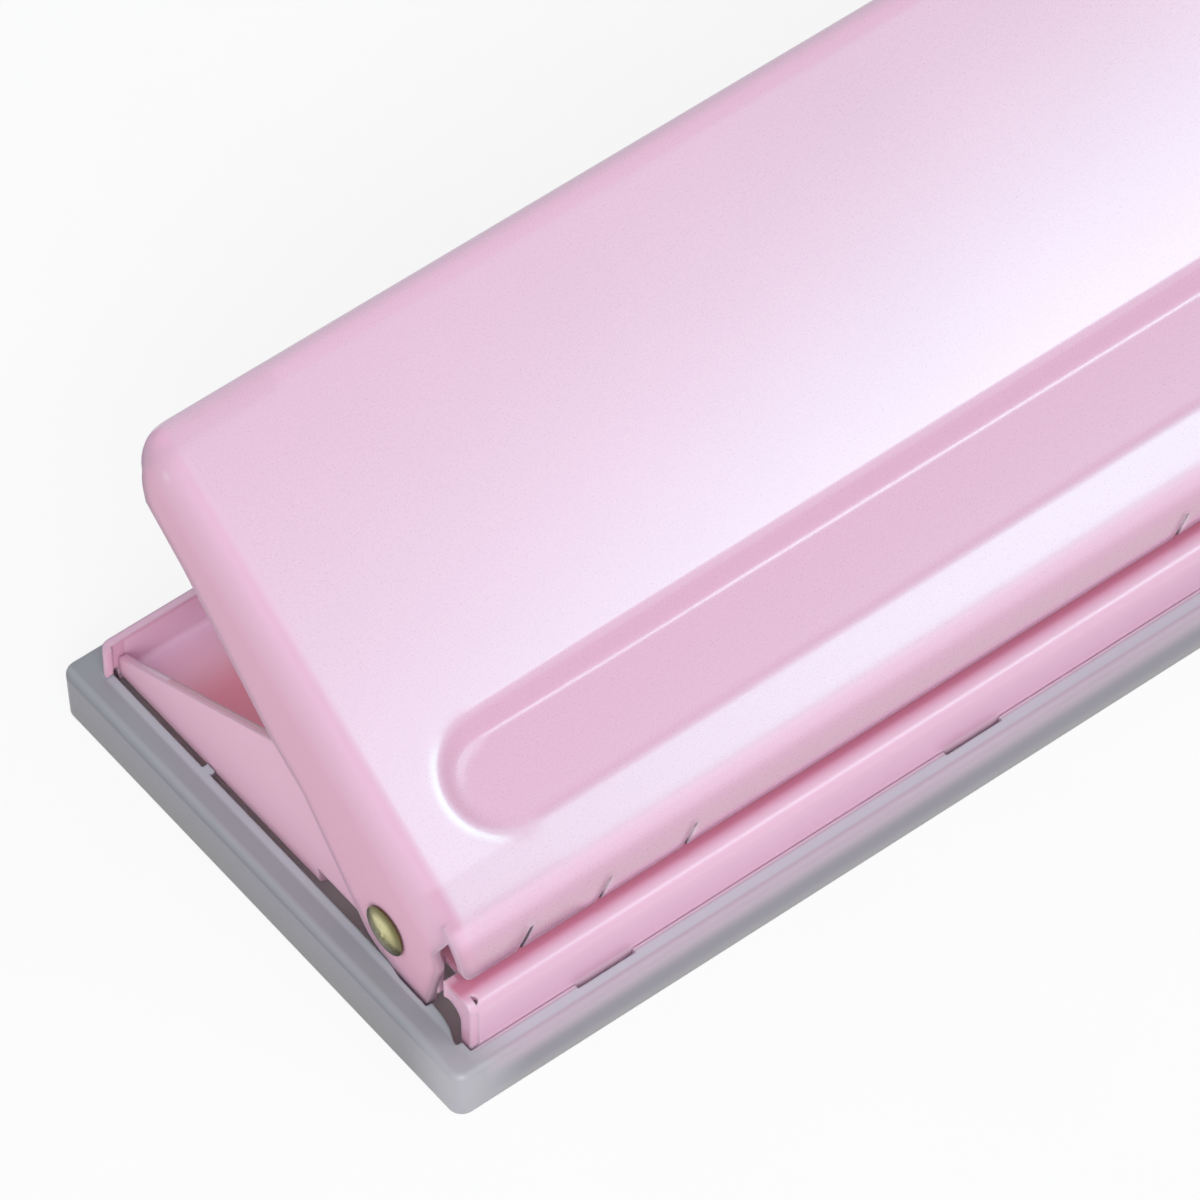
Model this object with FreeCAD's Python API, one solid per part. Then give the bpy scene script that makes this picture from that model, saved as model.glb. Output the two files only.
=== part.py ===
import FreeCAD, Part
import math
import os

# Six-hole desk punch, in millimetres.
# +X runs along the length, +Y from the paper side (front) to the back, +Z up.
# The origin is the centre of the chip tray's underside. The lever stands at rest, raised.

# Chip tray
tray_length = 320.0
tray_depth = 109.0
tray_height = 10.4
tray_wall = 1.8
tray_floor = 1.6
tray_flare = 0.3
tray_front_corner = 2.6
tray_rear_corner = 2.8
rim_thickness = 1.6
rim_side = 6.0
rim_front = 3.7
rim_rear = 4.2
rim_edge_round = 1.2
# The opening's edge at each end, from the back to the front: (behind the tray's front, in from its end).
# The first dip takes the lever's toe and the second one clears the base's folded leg.
rim_end_profile = (
    (26.5, 6.0),
    (22.8, 5.3),
    (15.4, 5.2),
    (15.2, 6.4),
    (12.1, 6.1),
    (9.4, 5.5),
    (6.8, 4.3),
    (6.1, 4.3),
    (5.9, 5.4),
)
rim_nib_setback = 75.5
rim_nib_length = 2.0
finger_notch_length = 12.0
finger_notch_depth = 0.9
finger_notch_places = (127.0, 49.0)
post_size = 5.0
seat_gap = 0.3

# Pressed base
base_sheet = 1.5
base_bend = 1.7
wall_gap = 0.3
deck_height = 20.6
front_wall_foot = 5.0
pan_floor_height = 9.0
rear_wall_height = 17.3
leg_inset = 6.0
leg_width = 2.6
leg_seam = 0.4
relief_hole_radius = 0.8
ledge_depth = 7.6
side_gap = 0.3
cheek_foot_clearance = 1.9
cheek_rear_height = 13.6
cheek_slope_deg = 26.2
cheek_front_setback = 15.0
cheek_corner_round = 3.0
cheek_shoulder_setback = 3.3
cheek_shoulder_drop = 0.8
cheek_nose_run = 3.2
cheek_nose_rise = 7.5
cheek_nose_drop = 1.2
cheek_foot_end = 7.0
rear_slit = 0.4
rear_curl_round = 2.2
rear_curl_run = 0.1
rear_curl_gap = 1.5
stop_tab_length = 6.0
stop_tab_setback = 1.0

# Lever shell
lever_inset = 5.8
lever_sheet = 1.4
lever_gap = 0.25
lever_closed_gap = 0.5
lever_length = 90.0
plate_height = 16.9
lever_edge_round = 4.2
lever_inner_round = 1.6
lever_corner_round = 8.0
rear_flange_depth = 7.1
rest_angle_deg = 34.5
travel_deg = 28.5
lip_start = -4.6
lip_radius = 11.5
lip_turn_deg = 50.0
lip_slit = 0.6
lip_slit_run = 1.7
lip_corner_round = 2.0
toe_setback = 16.1
toe_foot_length = 6.5
ear_radius = 8.0
flange_notch = ((-6.8, 12.5), (-7.4, 11.5), (-9.6, 10.3))
flange_knee = (26.2, -1.0)
flange_low_edge = ((36.1, -0.9), (67.4, 4.3), (80.2, 5.4))
flange_rear_rise = 5.0
recess_centre = 13.4
recess_width = 20.8
recess_end_margin = 14.2
recess_wall_run = 4.0
recess_front_run = 1.2
recess_end_run = 2.6
recess_depth = 2.6
recess_front_depth = 0.35
recess_edge_round = 3.0
recess_foot_round = 2.0
mark_offsets = (105.5, 123.3, 139.7)
mark_width = 1.2
mark_tip_width = 0.9
mark_height = 3.0
mark_lean = 3.9

# Pivot
pivot_setback = 26.5
pivot_drop = 1.6
pin_radius = 3.0
pin_running_gap = 0.05
pin_head_radius = 4.7
pin_head_edge = 0.35
pin_head_dome = 0.65
pin_head_gap = 0.2
washer_thickness = 0.6
washer_radius = 5.4
clip_thickness = 0.8
clip_groove_depth = 0.6
pin_end = 0.8

# Punches
punch_arm = 11.0
punch_radius = 3.0
punch_length = 13.9
punch_dome = 1.0
punch_tip_hollow = 1.2
tip_recess = 0.3
inner_hole = 35.0
hole_pitch = 19.0
punch_running_gap = 0.05
die_gap = 0.06
punch_clip_below_top = 1.5
punch_clip_radius = 5.3
cam_gap = 0.3

# Die plate, guide rail and press bar
slot_height = 2.0
stop_distance = 6.0
die_thickness = 1.5
die_shoulder = 2.6
die_half_width = 5.4
die_end_margin = 9.0
die_lap = 10.0
guide_sheet = 1.5
guide_bend = 1.4
guide_front = 5.6
guide_foot = 8.0
guide_end_margin = 17.0
collar_height = 2.5
collar_wall = 1.0
rivet_radius = 1.6
rivet_head_radius = 3.0
rivet_head_height = 1.1
press_bar_end_margin = 11.0
press_bar_front = 9.3
press_bar_rear = 21.3

# Return springs
spring_wire = 0.8
spring_side_gap = 0.3
spring_turns = 5
spring_end_rise = 1.3
spring_seat_gap = 0.1

# Derived places
half_length = tray_length / 2
pivot_height = deck_height - pivot_drop
front_y = -tray_depth / 2
rear_y = tray_depth / 2
pivot_y = front_y + pivot_setback
rest_angle = math.radians(rest_angle_deg)
closed_angle = math.radians(rest_angle_deg - travel_deg)
lever_half = half_length - lever_inset
lever_inner_half = lever_half - lever_sheet
recess_half_length = lever_half - recess_end_margin
cheek_outer = lever_inner_half - lever_gap
cheek_inner = cheek_outer - base_sheet
deck_half = cheek_inner - side_gap
leg_outer = half_length - leg_inset
leg_inner = leg_outer - base_sheet
rear_curl_outer = cheek_outer + rear_curl_gap + base_sheet
front_wall_y = front_y + rim_front + wall_gap
rear_wall_y = rear_y - rim_rear - wall_gap
punch_y = pivot_y + punch_arm
stop_y = punch_y + stop_distance
guide_foot_end = stop_y + guide_sheet + guide_foot
step_y = guide_foot_end + guide_sheet
ledge_y = front_wall_y + ledge_depth
guide_under = deck_height + slot_height
guide_top = guide_under + guide_sheet
punch_tip = guide_under + tip_recess
punch_top = punch_tip + punch_length
punch_places = (
    -inner_hole - 2 * hole_pitch,
    -inner_hole - hole_pitch,
    -inner_hole,
    inner_hole,
    inner_hole + hole_pitch,
    inner_hole + 2 * hole_pitch,
)
outer_hole = inner_hole + 2 * hole_pitch
die_half_length = outer_hole + die_end_margin
die_lap_half_length = die_half_length + die_lap
guide_half_length = outer_hole + guide_end_margin
press_bar_half_length = outer_hole + press_bar_end_margin
tab_top = pan_floor_height
toe_foot = tab_top + seat_gap
collar_radius = punch_radius + punch_running_gap + collar_wall
spring_inner = collar_radius + spring_side_gap
spring_mean = spring_inner + spring_wire / 2
clip_under = punch_top - punch_clip_below_top - clip_thickness


def vec(x, y, z):
    return FreeCAD.Vector(x, y, z)


def block(x0, x1, y0, y1, z0, z1):
    """A box between two corners."""
    return Part.makeBox(x1 - x0, y1 - y0, z1 - z0, vec(x0, y0, z0))


def rod(radius, start, direction, length):
    """A solid cylinder that starts at a point."""
    return Part.makeCylinder(radius, length, start, direction)


def tube(outer, inner, start, direction, length):
    """A ring or sleeve."""
    return rod(outer, start, direction, length).cut(rod(inner, start, direction, length))


def fused(shapes):
    """One clean solid from touching pieces."""
    first = shapes[0]
    return first.fuse(shapes[1:]).removeSplitter()


def line(a, b):
    return Part.LineSegment(a, b).toShape()


def arc(a, b, c):
    return Part.Arc(a, b, c).toShape()


def side_slab(points, x0, x1):
    """A polygon of (y, z) points, swept from x0 to x1."""
    corners = [vec(x0, y, z) for y, z in points]
    outline = Part.makePolygon(corners + [corners[0]])
    return Part.Face(outline).extrude(vec(x1 - x0, 0, 0))


def bent_sheet(path, thickness, bend, x0, x1):
    """A sheet bent along a path of (y, z) points on its middle line, swept from x0 to x1."""
    points = [vec(x0, y, z) for y, z in path]
    runs = [(b - a).normalize() for a, b in zip(points, points[1:])]
    half = thickness / 2
    sides = []
    for side in (1, -1):
        edges = []
        normal = vec(0, -runs[0].z, runs[0].y) * side
        start = points[0] + normal * half
        for corner, before, after in zip(points[1:-1], runs, runs[1:]):
            turn = before.y * after.z - before.z * after.y
            angle = before.getAngle(after)
            reach = bend * math.tan(angle / 2)
            way = 1 if turn > 0 else -1
            first = corner - before * reach
            last = corner + after * reach
            out_before = vec(0, -before.z, before.y)
            out_after = vec(0, -after.z, after.y)
            centre = first + out_before * (bend * way)
            radius = bend - way * side * half
            middle = centre + (corner - centre).normalize() * radius
            a = first + out_before * (half * side)
            b = last + out_after * (half * side)
            edges.append(line(start, a))
            edges.append(arc(a, middle, b))
            start = b
        out_last = vec(0, -runs[-1].z, runs[-1].y)
        end = points[-1] + out_last * (half * side)
        edges.append(line(start, end))
        sides.append((edges, points[0] + normal * half, end))
    left, right = sides
    caps = [line(left[1], right[1]), line(left[2], right[2])]
    outline = Part.Wire(Part.__sortEdges__(left[0] + right[0] + caps))
    return Part.Face(outline).extrude(vec(x1 - x0, 0, 0))


def rounded(shape, radius, wanted):
    """The shape with the edges that a test picks rounded off."""
    edges = [edge for edge in shape.Edges if wanted(edge.BoundBox)]
    return shape.makeFillet(radius, edges)


def upright_at(box, x, y):
    """True for a vertical edge that stands at x and y."""
    tall = box.ZLength > 0.5 and box.XLength < 0.01 and box.YLength < 0.01
    return tall and abs(box.Center.x - x) < 0.01 and abs(box.Center.y - y) < 0.01


def rounded_plate(x_half, y0, y1, z0, z1, front_round, rear_round):
    """A slab with its upright corners rounded, each pair by its own radius."""
    slab = block(-x_half, x_half, y0, y1, z0, z1)
    slab = rounded(slab, front_round, lambda b: upright_at(b, x_half, y0) or upright_at(b, -x_half, y0))
    return rounded(slab, rear_round, lambda b: upright_at(b, x_half, y1) or upright_at(b, -x_half, y1))


def flared_plate(x_half, y0, y1, height, front_round, rear_round, flare):
    """A slab like rounded_plate, with sides that lean out by the flare over its height, as a moulded tray's do."""
    def ring(inset, z):
        quarter = math.sqrt(0.5)
        corners = (
            (x_half - inset, y1 - inset, 1, 1, rear_round),
            (-x_half + inset, y1 - inset, -1, 1, rear_round),
            (-x_half + inset, y0 + inset, -1, -1, front_round),
            (x_half - inset, y0 + inset, 1, -1, front_round),
        )
        rounds = []
        for x, y, side_x, side_y, radius in corners:
            centre = vec(x - side_x * radius, y - side_y * radius, z)
            on_side = centre + vec(side_x * radius, 0, 0)
            on_face = centre + vec(0, side_y * radius, 0)
            middle = centre + vec(side_x * quarter * radius, side_y * quarter * radius, 0)
            ends = (on_side, on_face) if side_x * side_y > 0 else (on_face, on_side)
            rounds.append((ends[0], middle, ends[1]))
        edges = []
        for this, following in zip(rounds, rounds[1:] + rounds[:1]):
            edges.append(arc(*this))
            edges.append(line(this[2], following[0]))
        return Part.Wire(edges)
    return Part.makeLoft([ring(0, 0), ring(-flare, height)], True, True)


def both_ends(shape):
    """The shape with its mirror copy at the other end."""
    return [shape, shape.mirror(vec(0, 0, 0), vec(1, 0, 0))]


def to_lever(y, z):
    """A place in the side view, turned into the lever's own (along, above) at rest."""
    dy = y - pivot_y
    dz = z - pivot_height
    along = dy * math.cos(rest_angle) + dz * math.sin(rest_angle)
    above = -dy * math.sin(rest_angle) + dz * math.cos(rest_angle)
    return along, above


def on_lever(shape):
    """Carry a shape from the lever's own frame, pivot at its origin, to the raised lever."""
    placed = shape.copy()
    placed.rotate(vec(0, 0, 0), vec(1, 0, 0), rest_angle_deg)
    placed.translate(vec(0, pivot_y, pivot_height))
    return placed


def make_chip_tray():
    """Shallow box of soft clear plastic, with a rim that the base drops into."""
    outer = flared_plate(half_length, front_y, rear_y, tray_height,
                         tray_front_corner, tray_rear_corner, tray_flare)
    outer = outer.makeFillet(rim_edge_round, [e for e in outer.Edges if e.BoundBox.ZMin > tray_height - 0.01])
    inside = rounded_plate(half_length - tray_wall, front_y + tray_wall, rear_y - tray_wall,
                           tray_floor, tray_height - rim_thickness,
                           tray_front_corner - tray_wall / 2, tray_rear_corner - tray_wall / 2)
    opening_front = front_y + rim_front
    side = [(half_length - rim_side, rear_y - rim_rear)]
    side += [(half_length - inset, front_y + setback) for setback, inset in rim_end_profile]
    side.append((side[-1][0], opening_front))
    corners = [vec(x, y, tray_floor) for x, y in side]
    corners += [vec(-x, y, tray_floor) for x, y in reversed(side)]
    opening = Part.Face(Part.makePolygon(corners + [corners[0]])).extrude(vec(0, 0, tray_height))
    tray = outer.cut(inside).cut(opening)
    nib_start = front_y + rim_nib_setback
    nib_tip = half_length - cheek_outer - seat_gap
    nibs = both_ends(block(half_length - nib_tip, half_length - rim_side + 1, nib_start,
                           nib_start + rim_nib_length, tray_height - rim_thickness, tray_height))
    for place in finger_notch_places:
        for x in (-place, place):
            notch = block(x - finger_notch_length / 2, x + finger_notch_length / 2,
                          opening_front - finger_notch_depth, opening_front + 1, tray_floor, tray_height + 1)
            tray = tray.cut(notch)
    # Posts that the base stands on: two rows under the pan, one row under the front wall.
    pan_under = pan_floor_height - base_sheet - seat_gap
    wall_under = front_wall_foot - seat_gap
    posts = []
    for x in (-0.8 * cheek_inner, 0, 0.8 * cheek_inner):
        posts.append(block(x - post_size / 2, x + post_size / 2, rear_wall_y - 3 * post_size,
                           rear_wall_y - 2 * post_size, tray_floor, pan_under))
        posts.append(block(x - post_size / 2, x + post_size / 2, step_y + base_bend + 1,
                           step_y + base_bend + 1 + post_size, tray_floor, pan_under))
        posts.append(block(x - post_size / 2, x + post_size / 2, front_y + tray_wall,
                           front_wall_y + base_sheet, tray_floor, wall_under))
    return fused([tray] + posts + nibs)


def cheek_outline():
    """Side view of a base cheek: a wedge that climbs from the back and carries the pivot pin."""
    rear = rear_wall_y - base_sheet - rear_slit
    slope = math.tan(math.radians(cheek_slope_deg))
    reach = max(lever_inner_round - lever_gap, 0)
    corner_fill = lever_inner_round - math.sqrt(lever_inner_round ** 2 - reach ** 2)
    clearance = plate_height - lever_sheet - corner_fill - lever_closed_gap
    # The cheek stops short of the closed lever's plate and of the round inside its edge.
    tilt = math.tan(closed_angle)
    level = pivot_height + clearance / math.cos(closed_angle)
    peak_y = (level - tilt * pivot_y - cheek_rear_height - slope * rear) / (-slope - tilt)
    peak_z = cheek_rear_height + slope * (rear - peak_y)
    shoulder_y = pivot_y + cheek_shoulder_setback
    shoulder_z = level + tilt * cheek_shoulder_setback - cheek_shoulder_drop
    front = front_y + cheek_front_setback
    foot = tray_height + cheek_foot_clearance
    return rear, peak_y, peak_z, shoulder_y, shoulder_z, front, foot


def make_cheek():
    """One upright side of the base, with the tab that stops the raised lever's toe."""
    rear, peak_y, peak_z, shoulder_y, shoulder_z, front, foot = cheek_outline()
    fold_top = pan_floor_height - base_sheet / 2 + base_bend
    points = [
        (rear, fold_top),
        (rear, cheek_rear_height),
        (peak_y, peak_z),
        (shoulder_y, shoulder_z),
        (front + cheek_nose_run, pivot_height + cheek_nose_rise),
        (front, pivot_height + cheek_nose_drop),
        (front, foot),
        (step_y - cheek_foot_end, foot),
        (step_y - cheek_foot_end, fold_top),
    ]
    plate = side_slab(points, cheek_inner, cheek_outer)
    plate = rounded(plate, cheek_corner_round,
                    lambda b: b.XLength > base_sheet - 0.01 and b.YLength < 0.01 and b.ZLength < 0.01
                    and (abs(b.Center.y - peak_y) < 0.01 or abs(b.Center.y - shoulder_y) < 0.01))
    middle = cheek_outer - base_sheet / 2
    floor_middle = pan_floor_height - base_sheet / 2
    # The fold at the foot is drawn in the YZ plane and turned to run along Y.
    fold = bent_sheet([(middle - 2 * base_bend, floor_middle), (middle, floor_middle), (middle, fold_top + 1)],
                      base_sheet, base_bend, 0, rear - step_y + cheek_foot_end)
    fold.rotate(vec(0, 0, 0), vec(0, 0, 1), -90)
    fold.translate(vec(0, rear, 0))
    tab_y = front_y + toe_setback + stop_tab_setback
    leaf = block(cheek_inner, cheek_outer, tab_y, tab_y + stop_tab_length, tab_top - base_sheet, foot + 0.5)
    tab = block(cheek_inner, lever_half, tab_y, tab_y + stop_tab_length, tab_top - base_sheet, tab_top)
    bore = rod(pin_radius, vec(cheek_inner - 1, pivot_y, pivot_height), vec(1, 0, 0), base_sheet + 2)
    return fused([plate, fold, leaf, tab]).cut(bore)


def make_deck_leg():
    """The folded end of the paper ledge: a narrow leg with a curved web, seen at each front corner."""
    wall_top = deck_height
    under = deck_height - 3.4
    front = front_wall_y + leg_seam
    back = front_wall_y + leg_width + leg_seam
    curve = 3.0
    x = leg_inner
    corners = [
        vec(x, front, wall_top - base_bend),
        vec(x, front + base_bend, wall_top),
        vec(x, ledge_y, wall_top),
        vec(x, ledge_y, under - 0.6),
        vec(x, back + curve, under),
        vec(x, back, under - curve),
        vec(x, back, front_wall_foot),
        vec(x, front, front_wall_foot),
    ]
    quarter = math.sqrt(0.5)
    mid_front = vec(x, front + base_bend * (1 - quarter), wall_top - base_bend * (1 - quarter))
    mid_back = vec(x, back + curve * (1 - quarter), under - curve * (1 - quarter))
    edges = [
        arc(corners[0], mid_front, corners[1]),
        line(corners[1], corners[2]),
        line(corners[2], corners[3]),
        line(corners[3], corners[4]),
        arc(corners[4], mid_back, corners[5]),
        line(corners[5], corners[6]),
        line(corners[6], corners[7]),
        line(corners[7], corners[0]),
    ]
    return Part.Face(Part.Wire(edges)).extrude(vec(base_sheet, 0, 0))


def make_rear_curl():
    """The rear wall's end, curled forward round the corner just above the tray's rim."""
    low = tray_height + seat_gap
    bend = rear_curl_round
    inner_bend = bend - base_sheet
    centre = vec(rear_curl_outer - bend, rear_wall_y - bend, low)
    diagonal = vec(math.sqrt(0.5), math.sqrt(0.5), 0)
    along_x = vec(1, 0, 0)
    along_y = vec(0, 1, 0)
    tail = along_y * rear_curl_run
    points = [
        centre + along_y * bend,
        centre + diagonal * bend,
        centre + along_x * bend,
        centre + along_x * inner_bend,
        centre + diagonal * inner_bend,
        centre + along_y * inner_bend,
    ]
    edges = [
        arc(points[0], points[1], points[2]),
        line(points[2], points[2] - tail),
        line(points[2] - tail, points[3] - tail),
        line(points[3] - tail, points[3]),
        arc(points[3], points[4], points[5]),
        line(points[5], points[0]),
    ]
    return Part.Face(Part.Wire(edges)).extrude(vec(0, 0, rear_wall_height - low))


def make_base_frame():
    """One pressing: rear wall, pan floor, step, paper ledge and front wall, with two cheeks."""
    half = base_sheet / 2
    floor_middle = pan_floor_height - half
    deck_middle = deck_height - half
    path = [
        (rear_wall_y - half, rear_wall_height),
        (rear_wall_y - half, floor_middle),
        (step_y + half, floor_middle),
        (step_y + half, deck_middle),
        (front_wall_y + half, deck_middle),
        (front_wall_y + half, front_wall_foot),
    ]
    sheet = bent_sheet(path, base_sheet, base_bend, -leg_outer, leg_outer)
    high = rear_wall_height + deck_height
    step_back = step_y + base_sheet
    trims = []
    trims += both_ends(block(deck_half, half_length, ledge_y, step_back, 0, high))
    trims += both_ends(block(cheek_inner - 2 * base_bend + half, half_length, step_back,
                             rear_wall_y - base_sheet - rear_slit, 0, high))
    trims += both_ends(block(cheek_outer, half_length, rear_wall_y - base_sheet - rear_slit - 1, rear_y,
                             0, tray_height + seat_gap))
    trims += both_ends(block(rear_curl_outer - rear_curl_round, half_length, rear_wall_y - base_sheet, rear_y, 0, high))
    # The front wall stops one seam short of the folded leg.
    trims += both_ends(block(leg_inner, half_length, front_y, front_wall_y + base_sheet + 0.01,
                             0, deck_height - base_bend))
    trims += both_ends(block(leg_outer - leg_seam, half_length, front_y, front_wall_y + leg_seam, 0, high))
    # Room for the pin ends beside the ledge, and the window for the die plate.
    pin_room = washer_radius + side_gap
    trims += both_ends(block(cheek_inner - washer_thickness - clip_thickness - pin_end - side_gap, half_length,
                             pivot_y - pin_room, pivot_y + pin_room, 0, high))
    trims.append(block(-die_half_length, die_half_length, punch_y - die_half_width, punch_y + die_half_width,
                       deck_height - 2 * base_sheet, deck_height + 1))
    for x in (-leg_inner, leg_inner):
        trims.append(rod(relief_hole_radius, vec(x, front_wall_y + base_bend, deck_height - 2 * base_sheet),
                         vec(0, 0, 1), 3 * base_sheet))
    for x, y in rivet_places():
        trims.append(rod(rivet_radius, vec(x, y, 0), vec(0, 0, 1), high))
    sheet = sheet.cut(Part.makeCompound(trims))
    wings = both_ends(make_cheek()) + both_ends(make_deck_leg()) + both_ends(make_rear_curl())
    return fused([sheet] + wings)


def rivet_places():
    """Rivets through the deck: the guide rail's row and the die plate's two ends."""
    row_y = stop_y + guide_sheet + guide_foot / 2
    spread = guide_half_length - 2 * rivet_head_radius
    rail_row = [(x, row_y) for x in (-spread, -spread / 2, 0, spread / 2, spread)]
    ends = [(x, punch_y) for x in (-die_half_length - die_lap / 2, die_half_length + die_lap / 2)]
    return rail_row + ends


def make_die_plate():
    """Hardened strip, flush with the deck in its window, with a shoulder that laps under the deck."""
    shoulder_top = deck_height - base_sheet
    shoulder = block(-die_lap_half_length, die_lap_half_length, punch_y - die_half_width - die_shoulder,
                     punch_y + die_half_width + die_shoulder, shoulder_top - die_thickness, shoulder_top)
    raised = block(-die_half_length, die_half_length, punch_y - die_half_width, punch_y + die_half_width,
                   shoulder_top, deck_height)
    plate = fused([shoulder, raised])
    for x in punch_places:
        bottom = shoulder_top - die_thickness
        plate = plate.cut(rod(punch_radius + die_gap, vec(x, punch_y, bottom), vec(0, 0, 1), 2 * deck_height))
        # Below the cutting edge the hole widens, so that the chips drop freely.
        relief = Part.makeCone(punch_radius + 1.0, punch_radius + die_gap, die_thickness,
                               vec(x, punch_y, bottom), vec(0, 0, 1))
        plate = plate.cut(relief)
    for x, y in rivet_places()[5:]:
        plate = plate.cut(rod(rivet_radius, vec(x, y, 0), vec(0, 0, 1), 2 * deck_height))
    return plate


def make_guide_rail():
    """Stepped strip behind the paper slot: its shelf guides the punches, its web stops the paper."""
    half = guide_sheet / 2
    shelf = guide_top - half
    foot = deck_height + half
    path = [
        (punch_y - guide_front, shelf),
        (stop_y + half, shelf),
        (stop_y + half, foot),
        (guide_foot_end, foot),
    ]
    rail = bent_sheet(path, guide_sheet, guide_bend, -guide_half_length, guide_half_length)
    collars = []
    bores = []
    for x in punch_places:
        collars.append(rod(collar_radius, vec(x, punch_y, guide_top - half), vec(0, 0, 1), half + collar_height))
        bores.append(rod(punch_radius + punch_running_gap, vec(x, punch_y, deck_height), vec(0, 0, 1),
                         slot_height + guide_sheet + collar_height + 1))
    rail = fused([rail] + collars)
    for x, y in rivet_places()[:5]:
        bores.append(rod(rivet_radius, vec(x, y, 0), vec(0, 0, 1), 2 * deck_height))
    return rail.cut(Part.makeCompound(bores))


def rivet(x, y, low, high, top_head):
    """Rivet between two faces: a domed head on top, or a flush end, and a flat head below."""
    shank = rod(rivet_radius, vec(x, y, low), vec(0, 0, 1), high - low)
    lower = rod(rivet_head_radius, vec(x, y, low - rivet_head_height), vec(0, 0, 1), rivet_head_height)
    pieces = [shank, lower]
    if top_head:
        rise = rivet_head_height
        ball = (rivet_head_radius ** 2 + rise ** 2) / (2 * rise)
        dome = Part.makeSphere(ball, vec(x, y, high + rise - ball))
        keep = rod(rivet_head_radius + 1, vec(x, y, high), vec(0, 0, 1), rise + 1)
        pieces.append(dome.common(keep))
    return fused(pieces)


def make_rail_rivets():
    low = deck_height - base_sheet
    high = deck_height + guide_sheet
    return Part.makeCompound([rivet(x, y, low, high, True) for x, y in rivet_places()[:5]])


def make_die_rivets():
    low = deck_height - base_sheet - die_thickness
    return Part.makeCompound([rivet(x, y, low, deck_height, False) for x, y in rivet_places()[5:]])


def lever_side_outline():
    """Side view of a lever flange, in the lever's own frame, from the lip's notch round to the back."""
    u_rear = lever_length
    low_rear = plate_height - rear_flange_depth
    toe_front = to_lever(front_y + toe_setback, toe_foot)
    toe_back = to_lever(front_y + toe_setback + toe_foot_length, toe_foot)
    ear_low = to_lever(pivot_y, pivot_height - ear_radius)
    # A straight edge that leaves the round ear and meets the flange's lower edge.
    far = math.hypot(flange_knee[0], flange_knee[1])
    lean = math.atan2(flange_knee[1], flange_knee[0]) - math.acos(ear_radius / far)
    touch = (ear_radius * math.cos(lean), ear_radius * math.sin(lean))
    half_way = (math.atan2(ear_low[1], ear_low[0]) + lean) / 2
    ear_mid = (ear_radius * math.cos(half_way), ear_radius * math.sin(half_way))
    top = plate_height + 1
    slit_end = lip_start - lip_slit_run
    before_ear = [(slit_end, top), (slit_end, plate_height - lever_sheet / 2)]
    before_ear += flange_notch
    before_ear += [toe_front, toe_back, ear_low]
    after_ear = [touch, flange_knee]
    after_ear += flange_low_edge
    after_ear += [(u_rear - flange_rear_rise, low_rear), (u_rear + 1, low_rear), (u_rear + 1, top), (slit_end, top)]
    return before_ear, ear_mid, after_ear


def lever_box(x_half, u_rear, v_top, corner, edge):
    """The lever's envelope: rounded at its two back corners and along its top edges."""
    box = block(-x_half, x_half, -u_rear, u_rear, -u_rear, v_top)
    box = rounded(box, corner, lambda b: upright_at(b, x_half, u_rear) or upright_at(b, -x_half, u_rear))
    return rounded(box, edge, lambda b: b.ZMin > v_top - 0.01 and b.YMax > 1 - u_rear)


def dish_floor_height(u):
    """Height of the dish's floor, which falls from its front edge to the foot of its rear wall."""
    front_u = recess_centre - recess_width / 2 + recess_front_run
    rear_u = recess_centre + recess_width / 2 - recess_wall_run
    share = (u - front_u) / (rear_u - front_u)
    return plate_height - recess_front_depth - share * (recess_depth - recess_front_depth)


def recess_form(grow, v_top, sink):
    """A long dish as a solid between the plate and the dish's leaning floor, which sinks further by an amount."""
    def ring(front_u, rear_u, straight, reach, height):
        middle = (front_u + rear_u) / 2
        a = vec(-straight, front_u, height(front_u))
        b = vec(straight, front_u, height(front_u))
        c = vec(straight, rear_u, height(rear_u))
        d = vec(-straight, rear_u, height(rear_u))
        right = vec(straight + reach, middle, height(middle))
        left = vec(-straight - reach, middle, height(middle))
        return Part.Wire([line(a, b), arc(b, right, c), line(c, d), arc(d, left, a)])
    half_width = recess_width / 2
    straight = recess_half_length - half_width
    edge_reach = half_width + grow
    top = ring(recess_centre - edge_reach, recess_centre + edge_reach, straight, edge_reach, lambda u: v_top)
    front_u = recess_centre - half_width + recess_front_run - grow
    rear_u = recess_centre + half_width - recess_wall_run + grow
    drop = dish_floor_height(front_u) - dish_floor_height(rear_u)
    floor_reach = math.hypot(rear_u - front_u, drop) / 2
    floor_straight = recess_half_length + grow - recess_end_run - floor_reach
    floor = ring(front_u, rear_u, floor_straight, floor_reach, lambda u: dish_floor_height(u) - sink)
    return Part.makeLoft([floor, top], True, True)


def on_dish_edge(box):
    """True for an edge of the dish's outline, level with the plate."""
    level = abs(box.ZMin - plate_height) < 0.01 and box.ZLength < 0.01
    half_width = recess_width / 2
    near = box.YMin > recess_centre - half_width - 0.01 and box.YMax < recess_centre + half_width + 0.01
    return level and near


def on_dish_foot(box):
    """True for an edge round the dish's floor."""
    within = box.YMin > recess_centre - recess_width / 2 and box.YMax < recess_centre + recess_width / 2
    high = abs(box.ZMax - dish_floor_height(box.YMin)) < 0.05
    low = abs(box.ZMin - dish_floor_height(box.YMax)) < 0.05
    return within and high and low


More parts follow.
